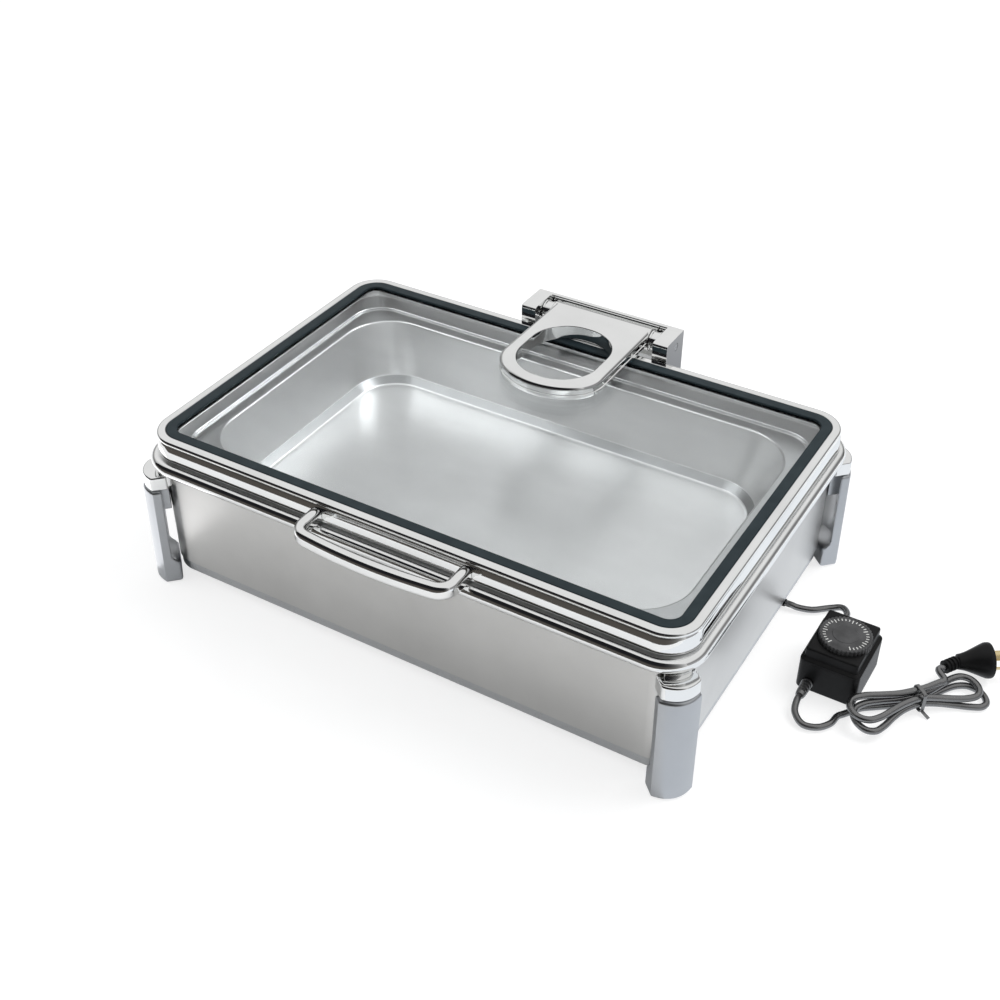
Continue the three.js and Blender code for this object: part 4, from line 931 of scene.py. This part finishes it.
pick(bracket, inner_wall, "FACE")
push(x=-CHEEK_INNER)
pick(bracket, lambda edge: all(near(vertex.co.y, PLATE_FRONT) and near(vertex.co.z, HINGE_TOP)
     and vertex.co.x < (CHEEK_INNER + 0.1) * MM for vertex in edge.verts), "EDGE")
round_off(2.6, 5)
pick(bracket, lambda face: face.calc_center_median().x < 0.0001, "FACE")
bpy.ops.mesh.delete(type="FACE")
leave_edit()
add_modifier(bracket, "MIRROR", use_axis=(True, False, False), merge_threshold=0.0001)
clean(bracket)
rounded_edges(bracket, 0.9, 50, 3)
bore(bracket, PIN_HOLE, 184, (-92, *PIN), (1, 0, 0), 32)
for x in HINGE_BOLTS:
    bore(bracket, BOLT_HOLE, 9, (x, 184, HINGE_BOLT_HEIGHT), (0, 1, 0))
smooth(bracket)
fit(bracket, "base", "polished_steel", polished, "hinge_bracket")

barrel = [(4.3, 0), (10.2, 0), (11, 0.8), (11, 2.2), (10, 2.8), (10, 8.6), (11, 9.2), (11, 10.6),
          (10.2, 11.4), (4.3, 11.4), (4.3, 0)]
for label, start in (("right", TONGUE_HALF + DAMPER_GAP), ("left", DAMPER_GAP - CHEEK_INNER)):
    damper = turned("damper_barrel_" + label, barrel, 48, (start, *PIN), (1, 0, 0))
    smooth(damper)
    fit(damper, "base", "polished_steel", polished, "hinge_damper_" + label)

# %% [markdown]
# ## Food pan
# A deep-drawn pan has large corners and a chamfer between two small bends at its floor, which show as two
# bright lines. Its flange turns down at the edge.

# %% Food pan
pan_floor = offset(475, 270, 52)
pan_mouth = offset(505, 300, 52)
flange = offset(530, 325, 30)
food_pan = pressed("food_pan_shell", [
    *pan_floor(arc(-10.66, 87.3, 4, -90, -45, 3)), *pan_floor(arc(-4, 93.96, 4, -45, 0, 3)),
    *pan_mouth(arc(2.5, 145, 2.5, 180, 90, 4)),
    *flange([(-0.8, 147.5), (-0.2, 147.3), (0, 146.7), (0, 145.6), (-0.8, 145.6), (-0.8, 146.7)]),
    *pan_mouth([(2.5, 146.7), (0.8, 145)]), *pan_floor(arc(-4, 93.96, 4.8, 0, -45, 3)),
    *pan_floor(arc(-10.66, 87.3, 4.8, -45, -90, 3)),
])
smooth(food_pan)
fit(food_pan, "food_pan", "satin_steel", pan_steel, "food_pan")
# The flat top of the flange gets a darker copy of the pan steel: painted shade
repaint(food_pan, shaded_flange_steel, lambda middle, normal: normal.z > 0.98 and middle.z > 147)
# The chamfer at the floor gets a darker copy of the pan steel: painted shade over the lamp's bright
# reflection there
repaint(food_pan, shaded_fold_steel, lambda middle, normal: 0.69 < normal.z < 0.72 and middle.z < 95)

# %% [markdown]
# ## Control box
# The thermostat sits in a two-part moulded box on the cord. The cover steps in to a second tier and holds
# the dial in a round recess that breaks through its right side, so that a thumb can turn it.

# %% Shell, cover and dial
BOX = (360, 23)
DIAL = (361.4, 23)
shell = offset(58, 70, 6)
control_base = pressed("control_shell", [
    *shell([(-2, 2), (-2, 33), (0, 33)]), *shell(arc(-2.2, 2.2, 2.2, 0, -90, 4)),
], at=BOX)
smooth(control_base)
fit(control_base, "base", "black_plastic", black_plastic, "control_base")
control_cover = pressed("control_lid", [
    *shell([(-5.5, 41.2), (-5.5, 33.3), (0, 33.3)]), *shell(arc(-1, 34.8, 1, 0, 60, 3)),
    *shell([(-3.5, 37.3)]), *shell(arc(-5.7, 45.8, 2.2, 0, 90, 5)),
], at=BOX)
bore(control_cover, 25.8, 8.8, (*DIAL, 43.2), steps=96)
bore(control_cover, 3.4, 20, (*DIAL, 30))
smooth(control_cover)
fit(control_cover, "base", "black_plastic", black_plastic, "control_cover")

GRIP_STEPS = 160
SCALE_START = -60
MARK_SPACING = 10
dial_profile = [(3.3, 43.5), (24.4, 43.5), (25, 44.1), (25, 51.9), (24.4, 52.5), (22.6, 52.5), (22.2, 52.1),
                (12.6, 52.1), (12.2, 52.5), (0, 52.5), (0, 48.3), (3.3, 48.3), (3.3, 43.5)]
dial = turned("dial_knob", dial_profile, GRIP_STEPS)
edit(dial)


def in_grip(vertex):
    """Whether a vertex of the dial's edge lies in the hollow between two grips."""
    step = math.atan2(vertex.co.y, vertex.co.x) / math.tau * GRIP_STEPS
    return vertex.co.xy.length > 24 * MM and round(step) % 4 in (0, 1)


pick(dial, in_grip)
bpy.ops.transform.resize(value=(0.962, 0.962, 1), center_override=(0, 0, 48 * MM))
leave_edit()
smooth(dial, 30)
marks = []
for number in range(31):
    long = number % 5 == 0
    mark = block("mark", (17 if long else 18.6, -0.45, 52.05), (21.4, 0.45, 52.3), 0)
    mark.data.transform(rotated("Z", SCALE_START + number * MARK_SPACING))
    mark.data.materials.append(tick_paint)
    marks.append(mark)
dial.data.materials.append(dial_plastic)
dial = joined([dial, *marks], "dial_knob")
dial.data.transform(moved((*DIAL, 0)))
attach(dial, "dial")
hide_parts("control_dial")

GRIP_LENGTH = 20
GRIP_GAP = 0.3
grip_profile = [(0, 0.3), (5.2, 0.3), (5.6, 0.7)]
for rib in range(4):
    less, start = rib * 0.2, rib * 4
    grip_profile += [(5.6 - less, start + 2), (4.9 - less, start + 2.6), (4.9 - less, start + 4),
                     (5.5 - less, start + 4.6)]
grip_profile += [(4.3, GRIP_LENGTH - 0.6), (3.9, GRIP_LENGTH), (0, GRIP_LENGTH)]
for label, end, way in (("in", BOX_REAR_LEAD, 1), ("out", BOX_FRONT_LEAD, -1)):
    start = end - Vector((0, way * (GRIP_LENGTH + GRIP_GAP), 0))
    grip = turned("cord_sleeve_" + label, grip_profile, 32, start, (0, way, 0))
    smooth(grip)
    fit(grip, "base", "cord_rubber", cord_sheath, "cord_grip_" + label)

# %% [markdown]
# ## Tie and plug
# A band holds the middle of the hank. The plug is moulded rubber: a flared body with a flat face and a
# ribbed collar that lets the cord bend.

# %% Tie
tie_section = [(0, -1.6), (0, 1.6), (-0.4, 2), (-0.8, 2), (-1.2, 1.6), (-1.2, -1.6), (-0.8, -2), (-0.4, -2)]
tie = pressed("hank_tie", offset(17.3, 24.3, 4.45)(tie_section), ring=True)
tie.data.transform(moved((*TIE, 12.7)) @ rotated("Z", TIE_HEADING + 90) @ rotated("X", 90))
tail = block("tail", (0, -1.6, -0.6), (9, 1.6, 0.6), 0.3, 2)
side_way = math.radians(TIE_HEADING - 90)
tail_start = Vector((TIE[0] + 8 * math.cos(side_way), TIE[1] + 8 * math.sin(side_way), 3.2))
tail.data.transform(moved(tail_start) @ rotated("Z", TIE_HEADING - 75) @ rotated("Y", 14))
tie = joined([tie, tail], "hank_tie")
smooth(tie)
fit(tie, "base", "cord_rubber", cord_sheath, "cord_tie")

# %% Plug
plug_profile = [(0, -3.7), (7.4, 0), (7.9, 3), (8.8, 6.5), (10.3, 10.5), (12.2, 15), (14.2, 19.5),
                (15.9, 23.3), (17, 26), (17.2, 27.5), (17.2, 30), (16.9, 30.7), (16.2, 31), (14.6, 31),
                (14.3, 30.6), (0, 30.6)]
plug = turned("plug_body", plug_profile, 64, PLUG_REAR, PLUG_WAY)
collar_profile = [(0, 0)]
for rib in range(4):
    start = rib * 4
    collar_profile += [(5.9, start), (6.5, start + 0.4), (6.5, start + 1.8), (5.9, start + 2.2),
                       (5.4, start + 2.4), (5.4, start + 3.8)]
collar_profile += [(5.4, 17), (0, 17)]
combine(plug, turned("collar", collar_profile, 40, COLLAR_END, COLLAR_WAY))
smooth(plug, 35)
fit(plug, "base", "black_plastic", black_plastic, "plug")
print("plug and collar:", len(plug.data.vertices), "vertices")

# %% Plug pins
BLADE_REACH = 8.5
BLADE_GAP = 0.3
for number, spoke in enumerate((90, 210, 330), 1):
    pin = block("plug_blade_" + str(number), (0, -3.2, -0.9), (18, 3.2, 0.9), 0.6)
    turn = 90 if number == 1 else spoke - 90
    angle = math.radians(spoke)
    place = (0, BLADE_REACH * math.cos(angle), BLADE_REACH * math.sin(angle))
    pin.data.transform(moved(PLUG_FACE + PLUG_WAY * BLADE_GAP) @ rotated("Z", PLUG_HEADING)
                       @ moved(place) @ rotated("X", turn))
    smooth(pin)
    fit(pin, "base", "pin_brass", brass, "plug_pin_" + str(number))

# %% [markdown]
# ## Pieces that stay as they are in CAD
# The heating parts, bolts, screws and the pin are hidden or nearly so. They keep the CAD shape and get a
# material that suits what they are made of.

# %% Materials for the CAD pieces
carried = {
    "dull_steel": dull_steel, "polished_steel": polished, "satin_steel": satin, "panel_steel": panel,
    "black_plastic": black_plastic, "cord_rubber": cord_sheath, "pale_plastic": ceramic, "pin_brass": brass,
    "lid_glass": glass, "seal_rubber": gasket_rubber,
}
cad_slots = [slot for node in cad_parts.values() for slot in node.material_slots]
for slot in cad_slots:
    slot.material = carried[slot.material.name]
print("CAD pieces:", sorted({slot.material.name for slot in cad_slots}))

# %% [markdown]
# ## Studio
# Steel is drawn by what it reflects. The world is white overhead and grey near the horizon. A black flag
# stands in front, which gives the bead and the handle their black lines, and cards lie on the floor at the
# right, at the left and behind. Only reflections see them. One large soft light stands high behind, and
# a broad one at the left.

# %% World
world = bpy.data.worlds.new("studio")
bpy.context.scene.world = world
world.use_nodes = True
nodes, links = world.node_tree.nodes, world.node_tree.links
nodes.clear()
output = add_node(nodes, "OutputWorld")
place = add_node(nodes, "TexCoord")


def maths(operation, first, second=None):
    """One step of arithmetic on node values."""
    node = add_node(nodes, "Math")
    node.operation = operation
    for socket, value in zip(node.inputs, (first, second)):
        if value is None:
            continue
        if isinstance(value, (int, float)):
            socket.default_value = value
        else:
            links.new(value, socket)
    return node.outputs[0]


def ramp(value, low, high):
    """A soft step from 0 to 1."""
    node = add_node(nodes, "MapRange")
    node.interpolation_type = "SMOOTHSTEP"
    put(node, {"From Min": low, "From Max": high})
    links.new(value, node.inputs["Value"])
    return node.outputs["Result"]


def toward(direction):
    """How far the ray points a way, from -1 to 1."""
    node = add_node(nodes, "VectorMath")
    node.operation = "DOT_PRODUCT"
    node.inputs[1].default_value = Vector(direction).normalized()
    links.new(place.outputs["Generated"], node.inputs[0])
    return node.outputs["Value"]


def mixed(share, first, second):
    """Mix two shaders by a share."""
    node = add_node(nodes, "MixShader")
    for source, socket in zip((share, first.outputs[0], second.outputs[0]), node.inputs):
        links.new(source, socket)
    return node


def darker(value, patch, depth):
    """Take a share away from a value where a patch is 1."""
    return maths("MULTIPLY", value, maths("SUBTRACT", 1, maths("MULTIPLY", patch, depth)))


up = toward((0, 0, 1))
tone = maths("ADD", 0.42, maths("MULTIPLY", ramp(up, 0.22, 0.46), 0.62))
# A low patch is a direction, where it starts and is full, the height where it ends, and its depth
for direction, start, full, top, depth in (
        ((1, 0.45, 0), 0.45, 0.75, 0.42, 0.55), ((-0.5, -0.86, 0), 0.3, 0.6, 0.68, 0.35)):
    low_patch = darker(ramp(toward(direction), start, full), ramp(up, top, top + 0.18), 1)
    tone = darker(tone, low_patch, depth)
# What the pan gets through the glass is darker from the left and from behind at the right
rays = add_node(nodes, "LightPath")
veil = maths("ADD", 0.15, ramp(toward((0.85, 0, 0.53)), -0.26, -0.01))
veil = darker(veil, ramp(toward((0.5, 0.66, 0.5)), 0.75, 0.95), 0.5)
tone = darker(tone, rays.outputs["Is Transmission Ray"], maths("SUBTRACT", 1, veil))
mirror = maths("MAXIMUM", rays.outputs["Is Glossy Ray"], rays.outputs["Is Transmission Ray"])
fill = add_node(nodes, "Background", {"Color": (0.97, 0.985, 1, 1), "Strength": 0.62})
reflected = add_node(nodes, "Background")
links.new(tone, reflected.inputs["Strength"])
white = add_node(nodes, "Background", {"Color": (1, 1, 1, 1), "Strength": 1.05})
bounced = mixed(mirror, fill, reflected)
links.new(mixed(rays.outputs["Is Camera Ray"], bounced, white).outputs[0], output.inputs["Surface"])

# %% Floor
deselect()
bpy.ops.mesh.primitive_plane_add(size=24, location=(0, 0, -0.0005))
floor = named("studio_floor")
floor_paint, nodes, links, shader = new_material("studio_floor")
put(shader, {"Base Color": (0.9, 0.9, 0.9, 1), "Roughness": 0.9, "Specular IOR Level": 0.1})
rays = add_node(nodes, "LightPath")
plain = add_node(nodes, "Emission", {"Strength": 1.2})
where = add_node(nodes, "NewGeometry")
distance = add_node(nodes, "VectorMath")
distance.operation = "LENGTH"
links.new(where.outputs["Position"], distance.inputs[0])
lift = add_node(nodes, "MapRange", {"From Min": 1.2, "From Max": 4, "To Min": 0.6, "To Max": 1})
links.new(distance.outputs["Value"], lift.inputs["Value"])
share = maths("MULTIPLY", rays.outputs["Is Camera Ray"], lift.outputs["Result"])
links.new(mixed(share, shader, plain).outputs[0], nodes["Material Output"].inputs["Surface"])
floor.data.materials.append(floor_paint)


# %% Lights
def softbox(name, place, target, size, power, colour=(1, 1, 1)):
    """A square light that faces a place."""
    bpy.ops.object.light_add(type="AREA", location=place)
    light = bpy.context.object
    light.name = name
    light.data.shape = "RECTANGLE"
    light.data.size, light.data.size_y = size
    light.data.energy = power
    light.data.color = colour
    light.visible_glossy = False
    light.rotation_euler = (Vector(target) - Vector(place)).to_track_quat("-Z", "Y").to_euler()
    return light


def card(name, low, high, colour):
    """A flat card that only reflections see."""
    deselect()
    middle = [(a + b) / 2 for a, b in zip(low, high)]
    size = [max(b - a, 0.0005) for a, b in zip(low, high)]
    bpy.ops.mesh.primitive_cube_add(size=1, location=middle, scale=size)
    piece = named(name)
    paint, nodes, links, shader = new_material(name)
    glow = add_node(nodes, "Emission", {"Color": (*colour, 1)})
    links.new(glow.outputs[0], nodes["Material Output"].inputs["Surface"])
    piece.data.materials.append(paint)
    piece.visible_camera = piece.visible_diffuse = piece.visible_shadow = piece.visible_transmission = False
    return piece


def fade(piece, axis, start, end, colour):
    """Blend a card's colour into another one along an axis."""
    nodes, links = piece.data.materials[0].node_tree.nodes, piece.data.materials[0].node_tree.links
    where = add_node(nodes, "NewGeometry")
    split = add_node(nodes, "SeparateXYZ")
    share = add_node(nodes, "MapRange")
    share.interpolation_type = "SMOOTHSTEP"
    put(share, {"From Min": start, "From Max": end})
    mix = add_node(nodes, "Mix")
    mix.data_type = "RGBA"
    paint = nodes["Emission"].inputs["Color"]
    put(mix, {"A": paint.default_value, "B": (*colour, 1)})
    links.new(where.outputs["Position"], split.inputs[0])
    links.new(split.outputs[axis], share.inputs["Value"])
    links.new(share.outputs["Result"], mix.inputs["Factor"])
    if paint.links:
        links.new(paint.links[0].from_socket, mix.inputs["A"])
    links.new(mix.outputs["Result"], paint)


flag = card("black_flag", (-1.6, -0.5, 0), (1.5, -0.49, 0.95), (0.085, 0.078, 0.07))
fade(flag, "Z", 0.12, 0.3, (0.012, 0.012, 0.014))
fade(flag, "X", 0.35, 1.4, (0.6, 0.6, 0.6))
side_flag = card("side_flag", (1.5, -0.5, 0), (1.51, 2, 0.45), (0.36, 0.36, 0.37))
rear_card = card("grey_card", (-0.5, 0.26, 0.0001), (0.28, 0.9, 0.0004), (0.3, 0.31, 0.33))
fade(rear_card, "X", 0.14, -0.3, (0.95, 0.95, 0.95))
fade(rear_card, "Y", 0.42, 0.85, (0.95, 0.95, 0.95))
reflector = card("white_card", (0.287, -0.35, 0.0001), (1.1, 0.7, 0.0004), (0.92, 0.955, 1))
left_card = card("left_card", (-0.6, -0.3, 0.0001), (-0.305, -0.08, 0.0004), (1.6, 1.6, 1.62))
key = softbox("key_light", (1.3, 1.1, 2.2), (0, 0, 0.1), (1.6, 1.6), 44)
side_light = softbox("side_light", (-1.4, -0.9, 2), (0, 0, 0.1), (1.4, 1.4), 14)
